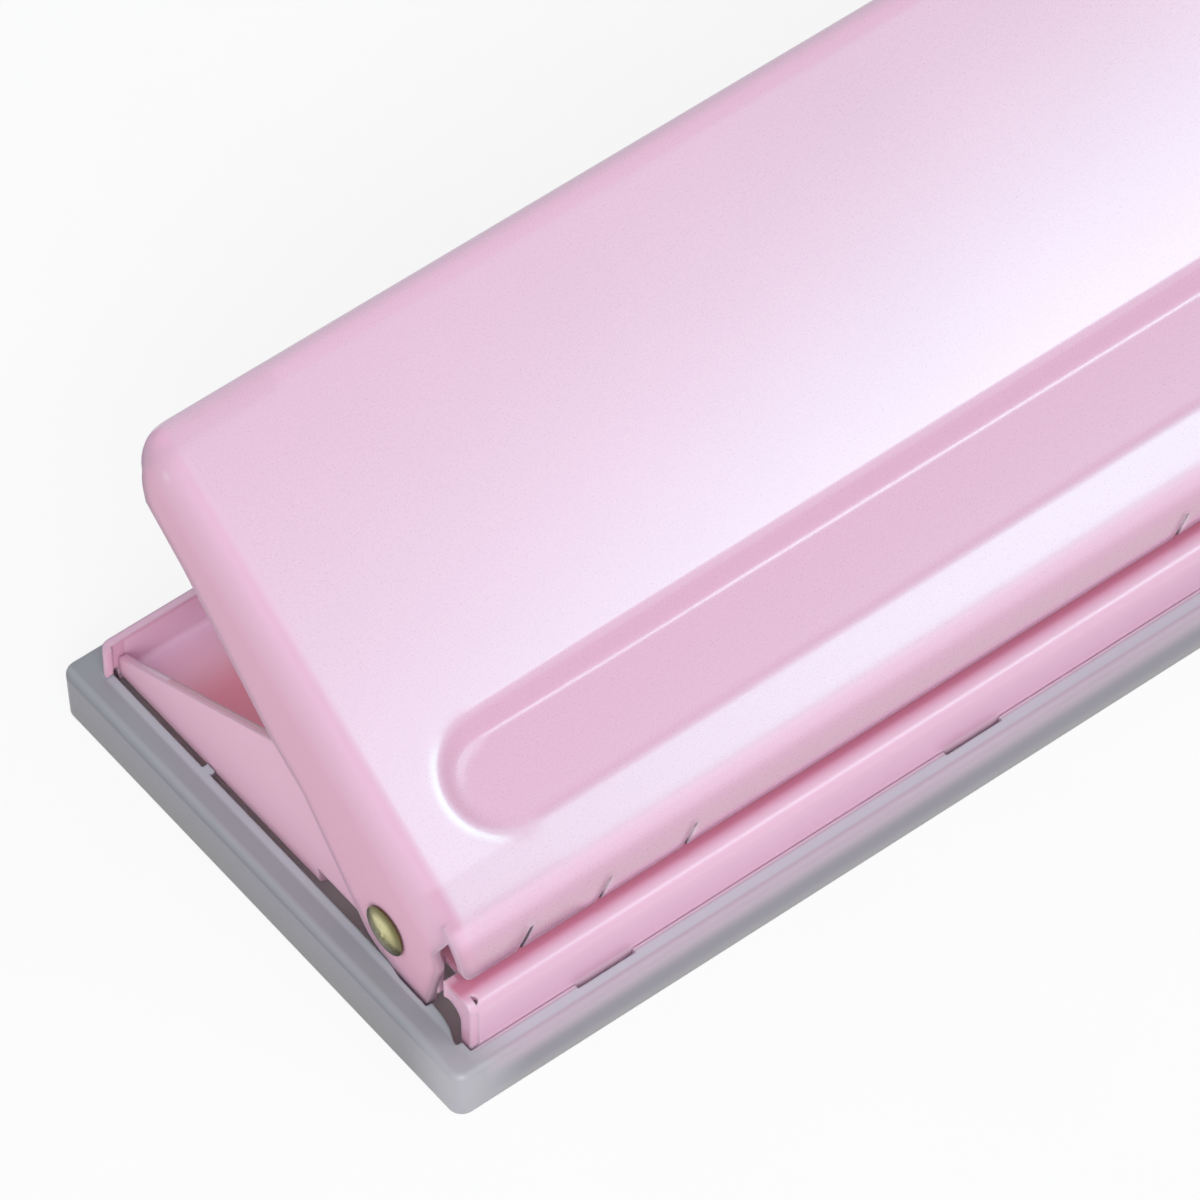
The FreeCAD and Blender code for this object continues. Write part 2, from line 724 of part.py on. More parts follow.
def paper_mark(x):
    """A narrow slanted nick in the lip, which shows where a sheet's edge or middle goes."""
    turn = math.radians(90 + lip_turn_deg)
    centre = vec(0, lip_start, plate_height - lip_radius)
    out = vec(0, math.cos(turn), math.sin(turn))
    up = vec(0, math.sin(turn), -math.cos(turn))
    foot = centre + out * lip_radius + vec(x, 0, 0)
    low = foot - up * 1.0 - vec(mark_lean / 2 + 0.4, 0, 0)
    high = foot + up * mark_height + vec(mark_lean / 2, 0, 0)
    across = vec(mark_width / 2, 0, 0)
    across_tip = vec(mark_tip_width / 2, 0, 0)
    reach = out * 3.0
    corners = [low - across, low + across, high + across_tip, high - across_tip]
    base = [c - reach for c in corners]
    outline = Part.makePolygon(base + [base[0]])
    return Part.Face(outline).extrude(reach * 2)


def make_lever_in_place():
    """Pressed lever shell: plate with a long dish, rolled lip in front, flanges on three sides."""
    outer = lever_box(lever_half, lever_length, plate_height, lever_corner_round, lever_edge_round)
    inner = lever_box(lever_inner_half, lever_length - lever_sheet, plate_height - lever_sheet,
                      lever_corner_round - lever_sheet, lever_inner_round)
    shell = outer.cut(inner)
    before_ear, ear_mid, after_ear = lever_side_outline()
    x = -half_length
    first = [vec(x, u, v) for u, v in before_ear]
    last = [vec(x, u, v) for u, v in after_ear]
    edges = [line(a, b) for a, b in zip(first, first[1:])]
    edges.append(arc(first[-1], vec(x, ear_mid[0], ear_mid[1]), last[0]))
    edges += [line(a, b) for a, b in zip(last, last[1:])]
    side = Part.Face(Part.Wire(edges)).extrude(vec(2 * half_length, 0, 0))
    shell = shell.common(side)
    # In front of the bend the plate rolls down as a lip, parted from the flanges by two slits.
    lip_half = lever_inner_half - lip_slit
    slit_top = lip_start - lip_slit_run
    front_cut = block(-lever_inner_half, lever_inner_half, -lever_length, slit_top, -lever_length, plate_height + 1)
    shell = shell.cut(front_cut)
    half = lever_sheet / 2
    middle_radius = lip_radius - half
    turn = math.radians(lip_turn_deg)
    centre = (lip_start, plate_height - lip_radius)
    def on_roll(radius, angle):
        return vec(-lip_half, centre[0] - radius * math.sin(angle), centre[1] + radius * math.cos(angle))
    outer_r = middle_radius + half
    inner_r = middle_radius - half
    root = vec(0, 1.0, 0)
    lip_edges = [
        arc(on_roll(outer_r, 0), on_roll(outer_r, turn / 2), on_roll(outer_r, turn)),
        line(on_roll(outer_r, turn), on_roll(inner_r, turn)),
        arc(on_roll(inner_r, turn), on_roll(inner_r, turn / 2), on_roll(inner_r, 0)),
        line(on_roll(inner_r, 0), on_roll(inner_r, 0) + root),
        line(on_roll(inner_r, 0) + root, on_roll(outer_r, 0) + root),
        line(on_roll(outer_r, 0) + root, on_roll(outer_r, 0)),
    ]
    lip = Part.Face(Part.Wire(lip_edges)).extrude(vec(2 * lip_half, 0, 0))
    foot = on_roll(middle_radius, turn)
    lip = rounded(lip, lip_corner_round,
                  lambda b: b.XLength < 0.01 and abs(b.Center.y - foot.y) < 0.01 and abs(b.Center.z - foot.z) < 0.01)
    gap_cut = block(-lip_half, lip_half, slit_top - 1, lip_start, plate_height - 2 * lever_sheet, plate_height + 1)
    shell = shell.cut(gap_cut)
    shell = fused([shell, lip])
    tub = recess_form(lever_sheet * 0.7, plate_height - lever_sheet / 2, lever_sheet)
    dish = recess_form(0, plate_height, 0)
    shell = fused([shell, tub]).cut(dish)
    shell = rounded(shell, recess_edge_round, on_dish_edge)
    shell = rounded(shell, recess_foot_round, on_dish_foot)
    cuts = [paper_mark(0)]
    for offset in mark_offsets:
        cuts.append(paper_mark(-offset))
        cuts.append(paper_mark(offset))
    cuts.append(rod(pin_radius + pin_running_gap, vec(-half_length, 0, 0), vec(1, 0, 0), tray_length))
    return on_lever(shell.cut(Part.makeCompound(cuts)))


def cam_point(angle):
    """Where the punch's top meets the press bar when the lever stands at this angle."""
    rest_reach = punch_top - pivot_height + cam_gap
    reach = rest_reach - punch_arm * (rest_angle - angle)
    along = punch_arm * math.cos(angle) + reach * math.sin(angle)
    above = -punch_arm * math.sin(angle) + reach * math.cos(angle)
    return along, above


def make_press_bar():
    """Steel bar under the dish. Its hollow lower face keeps each punch pressed on its own axis."""
    start = closed_angle - math.radians(2.0)
    end = rest_angle + math.radians(3.0)
    steps = 8
    curve = []
    for step in range(steps + 1):
        along, above = cam_point(start + (end - start) * step / steps)
        curve.append(vec(-press_bar_half_length, along, above))
    hollow = Part.BSplineCurve()
    hollow.interpolate(curve)
    x = -press_bar_half_length
    front_low = vec(x, press_bar_front, curve[0].z)
    front_top = vec(x, press_bar_front, dish_floor_height(press_bar_front) - lever_sheet)
    rear_top = vec(x, press_bar_rear, dish_floor_height(press_bar_rear) - lever_sheet)
    rear_low = vec(x, press_bar_rear, curve[-1].z)
    edges = [
        hollow.toShape(),
        line(curve[-1], rear_low),
        line(rear_low, rear_top),
        line(rear_top, front_top),
        line(front_top, front_low),
        line(front_low, curve[0]),
    ]
    bar = Part.Face(Part.Wire(edges)).extrude(vec(2 * press_bar_half_length, 0, 0))
    return on_lever(bar)


def spun(points, axis_point, axis):
    """A turned part from (radius, height) points and (radius, height) arcs of three points."""
    edges = []
    for item in points:
        edges.append(item)
    face = Part.Face(Part.Wire(edges))
    return face.revolve(axis_point, axis, 360)


def make_punch_pin(x):
    """Hardened punch: domed top, clip groove, and a hollow ground tip."""
    groove = punch_radius - clip_groove_depth
    clip_top = punch_top - punch_clip_below_top
    def at(radius, z):
        return vec(x + radius, punch_y, z)
    dome_edge = punch_top - punch_dome
    ball = (punch_radius ** 2 + punch_dome ** 2) / (2 * punch_dome)
    half_angle = math.asin(punch_radius / ball) / 2
    crown = at(ball * math.sin(half_angle), punch_top - ball + ball * math.cos(half_angle))
    edges = [
        arc(at(0, punch_top), crown, at(punch_radius, dome_edge)),
        line(at(punch_radius, dome_edge), at(punch_radius, clip_top)),
        line(at(punch_radius, clip_top), at(groove, clip_top)),
        line(at(groove, clip_top), at(groove, clip_under)),
        line(at(groove, clip_under), at(punch_radius, clip_under)),
        line(at(punch_radius, clip_under), at(punch_radius, punch_tip)),
        line(at(punch_radius, punch_tip), at(0, punch_tip + punch_tip_hollow)),
        line(at(0, punch_tip + punch_tip_hollow), at(0, punch_top)),
    ]
    return spun(edges, vec(x, punch_y, 0), vec(0, 0, 1))


def snap_ring(inner, outer, place, axis, thickness, mouth):
    """A retaining ring: a flat open ring that snaps into a groove, its mouth towards a direction."""
    ring = tube(outer, inner, place, axis, thickness)
    side = axis.cross(mouth)
    width = inner * 1.2
    corner = place - side * (width / 2) - axis * thickness
    slot = Part.Face(Part.makePolygon([
        corner,
        corner + side * width,
        corner + side * width + mouth * (2 * outer),
        corner + mouth * (2 * outer),
        corner,
    ])).extrude(axis * (3 * thickness))
    return ring.cut(slot)


def make_punch_clip(x):
    groove = punch_radius - clip_groove_depth
    return snap_ring(groove, punch_clip_radius, vec(x, punch_y, clip_under), vec(0, 0, 1), clip_thickness,
                     vec(0, 1, 0))


def spring_height(turns_done):
    """Height of the wire's middle after so many turns: close end turns, open turns between."""
    low = guide_top + spring_seat_gap + spring_wire / 2
    high = clip_under - spring_seat_gap - spring_wire / 2
    middle_rise = (high - low - 2 * spring_end_rise) / (spring_turns - 2)
    if turns_done <= 1:
        return low + spring_end_rise * turns_done
    if turns_done >= spring_turns - 1:
        return high - spring_end_rise * (spring_turns - turns_done)
    return low + spring_end_rise + middle_rise * (turns_done - 1)


def spring_node(x, turns_done):
    """A point on the coil and its direction there."""
    angle = 2 * math.pi * turns_done
    place = vec(x + spring_mean * math.cos(angle), punch_y + spring_mean * math.sin(angle),
                spring_height(turns_done))
    small = 0.02
    before = max(0, turns_done - small)
    after = min(spring_turns, turns_done + small)
    climb = (spring_height(after) - spring_height(before)) / (after - before) / (2 * math.pi)
    way = vec(-spring_mean * math.sin(angle), spring_mean * math.cos(angle), climb)
    return place, way.normalize()


def tangent_arc(start, way, end):
    """The arc that leaves start in a direction and ends at end."""
    chord = end - start
    lift = way - chord * (way.dot(chord) / chord.dot(chord))
    lift.normalize()
    rise = chord.Length / 2 * math.tan(way.getAngle(chord) / 2)
    return arc(start, start + chord * 0.5 + lift * rise, end)


def biarc(start, way_in, end, way_out):
    """Two arcs that join two points and keep both directions."""
    span = end - start
    both = way_in + way_out
    spread = 2 * (1 - way_in.dot(way_out))
    reach = (-span.dot(both) + math.sqrt(span.dot(both) ** 2 + spread * span.dot(span))) / spread
    joint = (start + way_in * reach + end - way_out * reach) * 0.5
    first = tangent_arc(start, way_in, joint)
    second = tangent_arc(end, way_out * -1, joint)
    return [first, second]


def make_punch_spring(x):
    """Return spring: one wire, coiled round the guide collar from the shelf up to the clip."""
    quarters = [step / 4 for step in range(4 * spring_turns + 1)]
    nodes = [spring_node(x, done) for done in quarters]
    start, first_way = nodes[0]
    end, last_way = nodes[-1]
    flat_in = vec(first_way.x, first_way.y, 0).normalize()
    flat_out = vec(last_way.x, last_way.y, 0).normalize()
    nodes[0] = (start, flat_in)
    nodes[-1] = (end, flat_out)
    edges = [line(start - flat_in * spring_wire, start)]
    for (a, way_a), (b, way_b) in zip(nodes, nodes[1:]):
        edges += biarc(a, way_a, b, way_b)
    edges.append(line(end, end + flat_out * spring_wire))
    path = Part.Wire(edges)
    disc = Part.Wire(Part.makeCircle(spring_wire / 2, start - flat_in * spring_wire, flat_in))
    return path.makePipeShell([disc], True, False)


def report_spring_gap():
    """Print the least gap between one turn of a spring and the next."""
    samples = 48 * spring_turns
    points = [spring_node(0, spring_turns * step / samples)[0] for step in range(samples + 1)]
    least = None
    for index, here in enumerate(points):
        for other in points[index + 24:]:
            gap = (here - other).Length - spring_wire
            if least is None or gap < least:
                least = gap
    print("least gap between spring turns, mm:", round(least, 3))


def make_pivot_pin():
    """Shouldered pin with a low domed head, held in the cheek by a washer and a snap ring."""
    head_under = lever_half + pin_head_gap
    washer_face = cheek_inner
    ring_face = washer_face - washer_thickness
    ring_end = ring_face - clip_thickness
    tail = ring_end - pin_end
    groove = pin_radius - clip_groove_depth
    def at(x, radius):
        return vec(x, pivot_y, pivot_height + radius)
    rim_x = head_under + pin_head_edge
    crown_x = rim_x + pin_head_dome
    ball = (pin_head_radius ** 2 + pin_head_dome ** 2) / (2 * pin_head_dome)
    half_angle = math.asin(pin_head_radius / ball) / 2
    crown = at(crown_x - ball + ball * math.cos(half_angle), ball * math.sin(half_angle))
    edges = [
        line(at(tail, 0), at(tail, groove)),
        line(at(tail, groove), at(tail + 0.3, pin_radius)),
        line(at(tail + 0.3, pin_radius), at(ring_end, pin_radius)),
        line(at(ring_end, pin_radius), at(ring_end, groove)),
        line(at(ring_end, groove), at(ring_face, groove)),
        line(at(ring_face, groove), at(ring_face, pin_radius)),
        line(at(ring_face, pin_radius), at(head_under, pin_radius)),
        line(at(head_under, pin_radius), at(head_under, pin_head_radius)),
        line(at(head_under, pin_head_radius), at(rim_x, pin_head_radius)),
        arc(at(rim_x, pin_head_radius), crown, at(crown_x, 0)),
        line(at(crown_x, 0), at(tail, 0)),
    ]
    return spun(edges, vec(0, pivot_y, pivot_height), vec(1, 0, 0))


def make_pivot_washer():
    place = vec(cheek_inner - washer_thickness, pivot_y, pivot_height)
    return tube(washer_radius, pin_radius, place, vec(1, 0, 0), washer_thickness)


def make_pivot_clip():
    groove = pin_radius - clip_groove_depth
    place = vec(cheek_inner - washer_thickness - clip_thickness, pivot_y, pivot_height)
    return snap_ring(groove, washer_radius - 0.4, place, vec(1, 0, 0), clip_thickness, vec(0, 0, -1))


def make_all():
    """Every node by name."""
    nodes = {
        "chip_tray": make_chip_tray(),
        "base_frame": make_base_frame(),
        "die_plate": make_die_plate(),
        "die_plate_rivets": make_die_rivets(),
        "guide_rail": make_guide_rail(),
        "guide_rail_rivets": make_rail_rivets(),
        "lever": make_lever_in_place(),
        "press_bar": make_press_bar(),
    }
    for name, make in (("pivot_pin", make_pivot_pin), ("pivot_washer", make_pivot_washer),
                       ("pivot_clip", make_pivot_clip)):
        right, left = both_ends(make())
        nodes[name + "_left"] = left
        nodes[name + "_right"] = right
    for number, x in enumerate(punch_places, 1):
        nodes["punch_pin_%d" % number] = make_punch_pin(x)
        nodes["punch_clip_%d" % number] = make_punch_clip(x)
        nodes["punch_spring_%d" % number] = make_punch_spring(x)
    return nodes


os.makedirs("parts", exist_ok=True)
report_spring_gap()
for node, shape in make_all().items():
    shape.exportStep("parts/%s.step" % node)
    print(node, "solids", len(shape.Solids), "valid", shape.isValid(), "volume", round(shape.Volume, 1))
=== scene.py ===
# %% [markdown]
# # A six-hole desk punch in pearl pink: looks around a finished CAD frame
#
# The solids come from CAD in metres, all in one frame: +X along the punch, +Y from the paper side to
# the back, +Z up, the origin under the chip tray's centre. Nothing here moves or reshapes them. This
# script gives them surfaces, light and the photograph's camera, and copies the six return springs onto
# meshes of their own.

# %% Load the CAD frame
import math

import bpy
from mathutils import Matrix, Vector


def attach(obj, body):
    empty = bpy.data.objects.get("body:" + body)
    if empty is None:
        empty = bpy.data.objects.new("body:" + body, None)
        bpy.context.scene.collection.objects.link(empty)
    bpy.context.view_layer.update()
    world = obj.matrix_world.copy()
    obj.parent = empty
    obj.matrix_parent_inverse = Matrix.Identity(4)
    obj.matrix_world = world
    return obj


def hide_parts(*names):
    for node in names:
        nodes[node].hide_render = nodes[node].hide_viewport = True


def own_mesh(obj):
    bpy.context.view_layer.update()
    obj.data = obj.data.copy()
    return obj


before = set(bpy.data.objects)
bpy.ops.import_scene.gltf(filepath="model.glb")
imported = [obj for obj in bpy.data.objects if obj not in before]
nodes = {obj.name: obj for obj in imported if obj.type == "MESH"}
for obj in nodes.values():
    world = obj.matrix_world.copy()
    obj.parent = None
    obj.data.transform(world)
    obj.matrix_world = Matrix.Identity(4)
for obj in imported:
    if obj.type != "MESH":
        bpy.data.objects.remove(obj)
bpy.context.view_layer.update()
print("CAD pieces:", len(nodes))

# %% [markdown]
# ## The camera
#
# A product photograph of a long thing is taken from far away, so that its far end doesn't shrink. The
# place and the lens were worked out from straight edges of the tray, base and lever: 304.5 mm on a 36 mm
# sensor is about 8.5 picture widths. The camera's three axes are written down as a matrix, because a
# matrix can't roll the picture by accident, as a chain of turns can.

# %% The photograph's camera
CAMERA_AZIMUTH = math.radians(38.19)
CAMERA_ELEVATION = math.radians(51.46)
CAMERA_PLACE = Vector((-0.73951, -0.82844, 1.34956))
CAMERA_LENS = 304.5
SENSOR_WIDTH = 36.0
FAR_CLIP = 20.0

forward = Vector((
    math.sin(CAMERA_AZIMUTH) * math.cos(CAMERA_ELEVATION),
    math.cos(CAMERA_AZIMUTH) * math.cos(CAMERA_ELEVATION),
    -math.sin(CAMERA_ELEVATION),
))
right = Vector((math.cos(CAMERA_AZIMUTH), -math.sin(CAMERA_AZIMUTH), 0.0))
up = right.cross(forward)

camera = bpy.data.objects.new("camera", bpy.data.cameras.new("camera"))
bpy.context.scene.collection.objects.link(camera)
camera.data.lens = CAMERA_LENS
camera.data.sensor_width = SENSOR_WIDTH
camera.data.clip_end = FAR_CLIP
turn = Matrix((right, up, -forward)).transposed().to_4x4()
camera.matrix_world = Matrix.Translation(CAMERA_PLACE) @ turn
bpy.context.scene.camera = camera
print("camera stands at", tuple(round(part, 3) for part in CAMERA_PLACE))

# %% [markdown]
# ## Small tools for node trees
#
# A material is a graph of nodes. These helpers each add one node or a few and hand back the output, so
# that a finish below reads like a sum. Values that vary over a surface are linked; a value that is the
# same everywhere is written on the shader itself, where an export finds it.

# %% A material and its sockets
def new_material(name):
    """An empty material with one Principled shader: returns the material, its tree and the shader."""
    material = bpy.data.materials.new(name)
    material.use_nodes = True
    tree = material.node_tree
    tree.nodes.clear()
    output = tree.nodes.new("ShaderNodeOutputMaterial")
    shader = tree.nodes.new("ShaderNodeBsdfPrincipled")
    tree.links.new(shader.outputs["BSDF"], output.inputs["Surface"])
    return material, tree, shader


def set_socket(tree, socket, value):
    """Gives a socket a number or colour, or links another node's output to it."""
    if isinstance(value, bpy.types.NodeSocket):
        tree.links.new(value, socket)
    else:
        socket.default_value = value


# %% Arithmetic and blends
def calculate(tree, operation, first, second=0.0, third=0.0, clamp=False):
    """One Math node."""
    node = tree.nodes.new("ShaderNodeMath")
    node.operation = operation
    node.use_clamp = clamp
    for socket, value in zip(node.inputs, (first, second, third)):
        set_socket(tree, socket, value)
    return node.outputs[0]


def map_range(tree, value, span, result):
    """A value carried from one span to another, held at both ends and eased between them."""
    node = tree.nodes.new("ShaderNodeMapRange")
    node.interpolation_type = "SMOOTHSTEP"
    set_socket(tree, node.inputs["Value"], value)
    for socket, bound in zip(("From Min", "From Max", "To Min", "To Max"), span + result):
        node.inputs[socket].default_value = bound
    return node.outputs["Result"]


def mix_colour(tree, factor, first, second):
    """A blend from the first colour to the second one."""
    node = tree.nodes.new("ShaderNodeMix")
    node.data_type = "RGBA"
    set_socket(tree, node.inputs["Factor"], factor)
    set_socket(tree, node.inputs["A"], first)
    set_socket(tree, node.inputs["B"], second)
    return node.outputs["Result"]


# %% Masks
def rise(tree, value, span):
    """A mask that grows from 0 to 1 over the span."""
    return map_range(tree, value, span, (0.0, 1.0))


def fall(tree, value, span):
    """A mask that drops from 1 to 0 over the span."""
    return map_range(tree, value, span, (1.0, 0.0))


def all_of(tree, mask, *others):
    """The product of masks: 1 only where every one of them is 1."""
    for other in others:
        mask = calculate(tree, "MULTIPLY", mask, other)
    return mask


def band(tree, value, start, end):
    """A mask that grows over the first span and drops over the second."""
    return all_of(tree, rise(tree, value, start), fall(tree, value, end))


# %% [markdown]
# ## Where a pattern sits
#
# Every pattern reads Object coordinates. A CAD piece's object sits at the origin, so these are the
# frame's own metres, and a pattern stays on its piece when the piece moves. The punch's two ends are
# alike, so most places are found by their distance from the middle.

# %% Places and noise
# A noise texture lies mostly between these values: the first pair cuts its ends off a little more.
NOISE_CORE = (0.35, 0.65)
NOISE_SPAN = (0.3, 0.7)


def place(tree, location=(0, 0, 0), rotation=(0, 0, 0), scale=(1, 1, 1)):
    """Object coordinates seen from a frame at that location, turned and stretched so."""
    source = tree.nodes.new("ShaderNodeTexCoord").outputs["Object"]
    node = tree.nodes.new("ShaderNodeMapping")
    node.vector_type = "TEXTURE"
    node.inputs["Location"].default_value = location
    node.inputs["Rotation"].default_value = rotation
    node.inputs["Scale"].default_value = scale
    tree.links.new(source, node.inputs["Vector"])
    return node.outputs["Vector"]


def split(tree, vector):
    """The three numbers of a vector."""
    node = tree.nodes.new("ShaderNodeSeparateXYZ")
    tree.links.new(vector, node.inputs["Vector"])
    return node.outputs["X"], node.outputs["Y"], node.outputs["Z"]


def mirrored(tree, location=(0, 0, 0), rotation=(0, 0, 0)):
    """A place as its distance from the middle, its Y and its Z: both ends of the punch are alike."""
    x, y, z = split(tree, place(tree, location, rotation))
    return calculate(tree, "ABSOLUTE", x), y, z


def length(tree, first, second):
    """The distance that two numbers at right angles make."""
    square_sum = calculate(tree, "MULTIPLY_ADD", first, first, calculate(tree, "MULTIPLY", second, second))
    return calculate(tree, "SQRT", square_sum)


def noise(tree, where, scale, detail):
    """A Noise texture's value at those coordinates, about 0.5 on average."""
    node = tree.nodes.new("ShaderNodeTexNoise")
    node.inputs["Scale"].default_value = scale
    node.inputs["Detail"].default_value = detail
    tree.links.new(where, node.inputs["Vector"])
    return node.outputs["Fac"]


# %% [markdown]
# ## Relief and edges
#
# Real pressings and mouldings have no perfectly sharp edge. A Bevel node blends the normals of
# neighbouring faces, which rounds an edge in the shading alone and leaves the CAD mesh as it is. The
# same node, set against the true normal, finds the edges, where paint wears and plastic is rubbed.

# %% Relief and edges
BLEND_SAMPLES = 6
EDGE_SAMPLES = 4
EDGE_SPAN = (0.02, 0.25)


def bump(tree, height, distance, before=None):
    """A Bump node: height times distance is in metres."""
    node = tree.nodes.new("ShaderNodeBump")
    node.inputs["Strength"].default_value = 1.0
    node.inputs["Distance"].default_value = distance
    set_socket(tree, node.inputs["Height"], height)
    if before is not None:
        tree.links.new(before, node.inputs["Normal"])
    return node.outputs["Normal"]


def soft_normal(tree, radius, samples=BLEND_SAMPLES):
    """The surface's normal, blended across edges and facets over that radius."""
    node = tree.nodes.new("ShaderNodeBevel")
    node.samples = samples
    set_socket(tree, node.inputs["Radius"], radius)
    return node.outputs["Normal"]


def edge_mask(tree, radius):
    """1 along edges sharper than the radius and 0 on open faces."""
    geometry = tree.nodes.new("ShaderNodeNewGeometry")
    dot = tree.nodes.new("ShaderNodeVectorMath")
    dot.operation = "DOT_PRODUCT"
    tree.links.new(soft_normal(tree, radius, EDGE_SAMPLES), dot.inputs[0])
    tree.links.new(geometry.outputs["Normal"], dot.inputs[1])
    away = calculate(tree, "SUBTRACT", 1.0, dot.outputs["Value"], clamp=True)
    return rise(tree, away, EDGE_SPAN)


# %% Colours as the eye names them
def colour(red, green, blue):
    """A colour given as the eye sees it (0 to 255) in the linear values that shaders use."""
    def linear(part):
        part = part / 255
        return part / 12.92 if part <= 0.04045 else ((part + 0.055) / 1.055) ** 2.4
    return (linear(red), linear(green), linear(blue), 1.0)


def shaded(tint, factor):
    """A colour made darker or brighter by a factor, and never brighter than full."""
    return tuple(min(1.0, part * factor) for part in tint[:3]) + (1.0,)


# %% [markdown]
# ## Pearl enamel
#
# The steel is sprayed with a pink enamel full of mica flakes, under a satin coat. It is pale where a lamp
# glances off it and a fuller pink elsewhere. Metallic paint would make it too grey, so this is a plain
# coloured surface with a high index: the flakes' pale, slightly violet sheen comes from the tinted
# reflection. One pink isn't enough to match how the light falls on it, so each part of a pressing has a
# pink of its own: the darker ones are painted shade, the paler ones and the white are painted light.

# %% Pearl colours
LEVER_PINK = colour(227, 169, 198)
# Painted shade: the dish, strip, lip's lower half, flange and side bend. Painted light: lip top, rear bend.
DISH_PINK = colour(223, 157, 189)
STRIP_PINK = colour(215, 152, 182)
LIP_PINK = colour(209, 151, 172)
LIP_TOP_PINK = colour(233, 178, 206)
FLANGE_PINK = colour(225, 160, 185)
SIDE_BEND_PINK = colour(214, 160, 185)
REAR_BEND_PINK = colour(246, 181, 213)
BASE_PINK = colour(231, 177, 204)
# Painted light: cheeks, rear wall, behind the tray's rim. Painted shade: ledge, its root and the pan.
CHEEK_PINK = colour(234, 180, 202)
DECK_PINK = colour(230, 157, 188)
ROOT_PINK = colour(209, 124, 152)
PAN_PINK = colour(252, 112, 150)
REAR_WALL_PINK = colour(255, 216, 240)
RIM_GLOW_PINK = colour(250, 212, 233)
PEARL_THIN = colour(243, 214, 230)
# A white painted highlight.
PEARL_PAINTED_HIGHLIGHT = colour(255, 250, 255)

# %% [markdown]
# ## The lever's own frame
#
# The lever stands raised on its two pivot pins, so its plate slopes in the CAD frame. Seen from the
# pivot, and turned by that slope, the plate is flat and its bends are straight lines. Every place on the
# lever is therefore named there: its distance from the middle, back from the pivot and above it.

# %% The raised lever
REST_ANGLE = math.radians(34.5)
PIVOT = (0.0, -0.028, 0.019)


def on_lever(tree):
    """A place on the raised lever: its distance from the middle, back from the pivot and above it."""
    return mirrored(tree, PIVOT, (REST_ANGLE, 0, 0))


print("the lever stands raised by %.1f degrees" % math.degrees(REST_ANGLE))

# %% [markdown]
# ## The lever's pressed shape, in its shading
#
# A press leaves a plate a little crowned, and bends that run into each other softly. The CAD faces meet
# in exact tangents and flat facets, which gloss shows as creases. A finer mesh would be another shape
# than the frame's, so the enamel's normal is blended instead, more widely along the bends than at the
# crisp foot of the dish, and the plate gets a slow crown.

# %% Crown of the plate
LEVER_REACH = 0.090
CROWN_SLOPE = 0.062  # at the plate's front and rear edges, against none in its middle


def pressing(tree, before):
    """The plate's slow crown: a pressing is never quite flat, so its gloss drifts from back to front."""
    _, back, _ = on_lever(tree)
    offset = calculate(tree, "SUBTRACT", back, LEVER_REACH / 2)
    squared = calculate(tree, "MULTIPLY", offset, offset)
    crown = calculate(tree, "MULTIPLY", squared, -CROWN_SLOPE / LEVER_REACH)
    return bump(tree, crown, 1.0, before)


# %% Blending of the bends
LIP_BLEND = 0.0020
DISH_BLEND = 0.0008
REAR_BLEND = 0.0007
END_BLEND = 0.0024
BASE_BLEND = 0.0008

DISH_FRONT = (0.0050, 0.0080)
DISH_REAR = (0.0260, 0.0300)
DISH_END = (0.1265, 0.1300)


def lever_softness(tree):
    """Wide blending along the lever's bends, narrow in its dish, where the foot of the wall is crisp."""
    end, back, _ = on_lever(tree)
    in_front = map_range(tree, back, DISH_FRONT, (LIP_BLEND, DISH_BLEND))
    behind = map_range(tree, back, DISH_REAR, (0.0, REAR_BLEND))
    ends = map_range(tree, end, DISH_END, (0.0, END_BLEND))
    return calculate(tree, "ADD", calculate(tree, "ADD", in_front, behind), ends)


# %% [markdown]
# ## Worn places
#
# Hands take hold of the lever at its side bends, and its flanges rub past the base's cheeks. Both places
# have lost their coat's shine. Scratches could be drawn there, but from this far off only the dullness
# shows, so wear raises the roughness and takes the coat away.

# %% Worn places
SIDE_BEND = (0.1480, 0.1500)
CHEEK_OUTSIDE = (0.15180, 0.15220)
CHEEK_FRONT = (-0.0450, -0.0430)
CHEEK_REAR = (0.0480, 0.0490)


def lever_wear(tree):
    """The side bends, where hands have dulled the coat: 1 along them and 0 on the open plate."""
    end, _, _ = on_lever(tree)
    return rise(tree, end, SIDE_BEND)


def cheek_face(tree, end, y):
    """The cheeks' outer faces, from behind the ledge to the rear wall."""
    return all_of(tree, rise(tree, end, CHEEK_OUTSIDE), band(tree, y, CHEEK_FRONT, CHEEK_REAR))


def base_wear(tree):
    """The cheeks' outer faces are dull, because the lever's flanges rub past them."""
    end, y, _ = mirrored(tree)
    return cheek_face(tree, end, y)


# %% [markdown]
# ## Painted shade and painted light on the enamel
#
# The lamps alone don't give each place of the pink its tone, so light and shade are painted into the
# enamel's colour: darker pinks are painted shade in the dish, on the strip before it, on the lip's lower
# half, down the side bends and flanges, on the ledge under the lip and in the pan; paler pinks are
# painted light on the lip's top, the rear bend, the cheeks' outer faces, the pan's rear wall and behind
# the tray's rim; white painted highlights sit round the dish's ends and at the plate's rear corners. A
# painted mask would need an unwrapped mesh and an image, so each place is found from the distance to a
# line of the shape. Where a mask begins and where it is full are the two ends of a span.

# %% The dish and its painted highlights
DISH_STRAIGHT = 0.1296
DISH_CENTRE = 0.0134
DISH_HALF_WIDTH = 0.0104

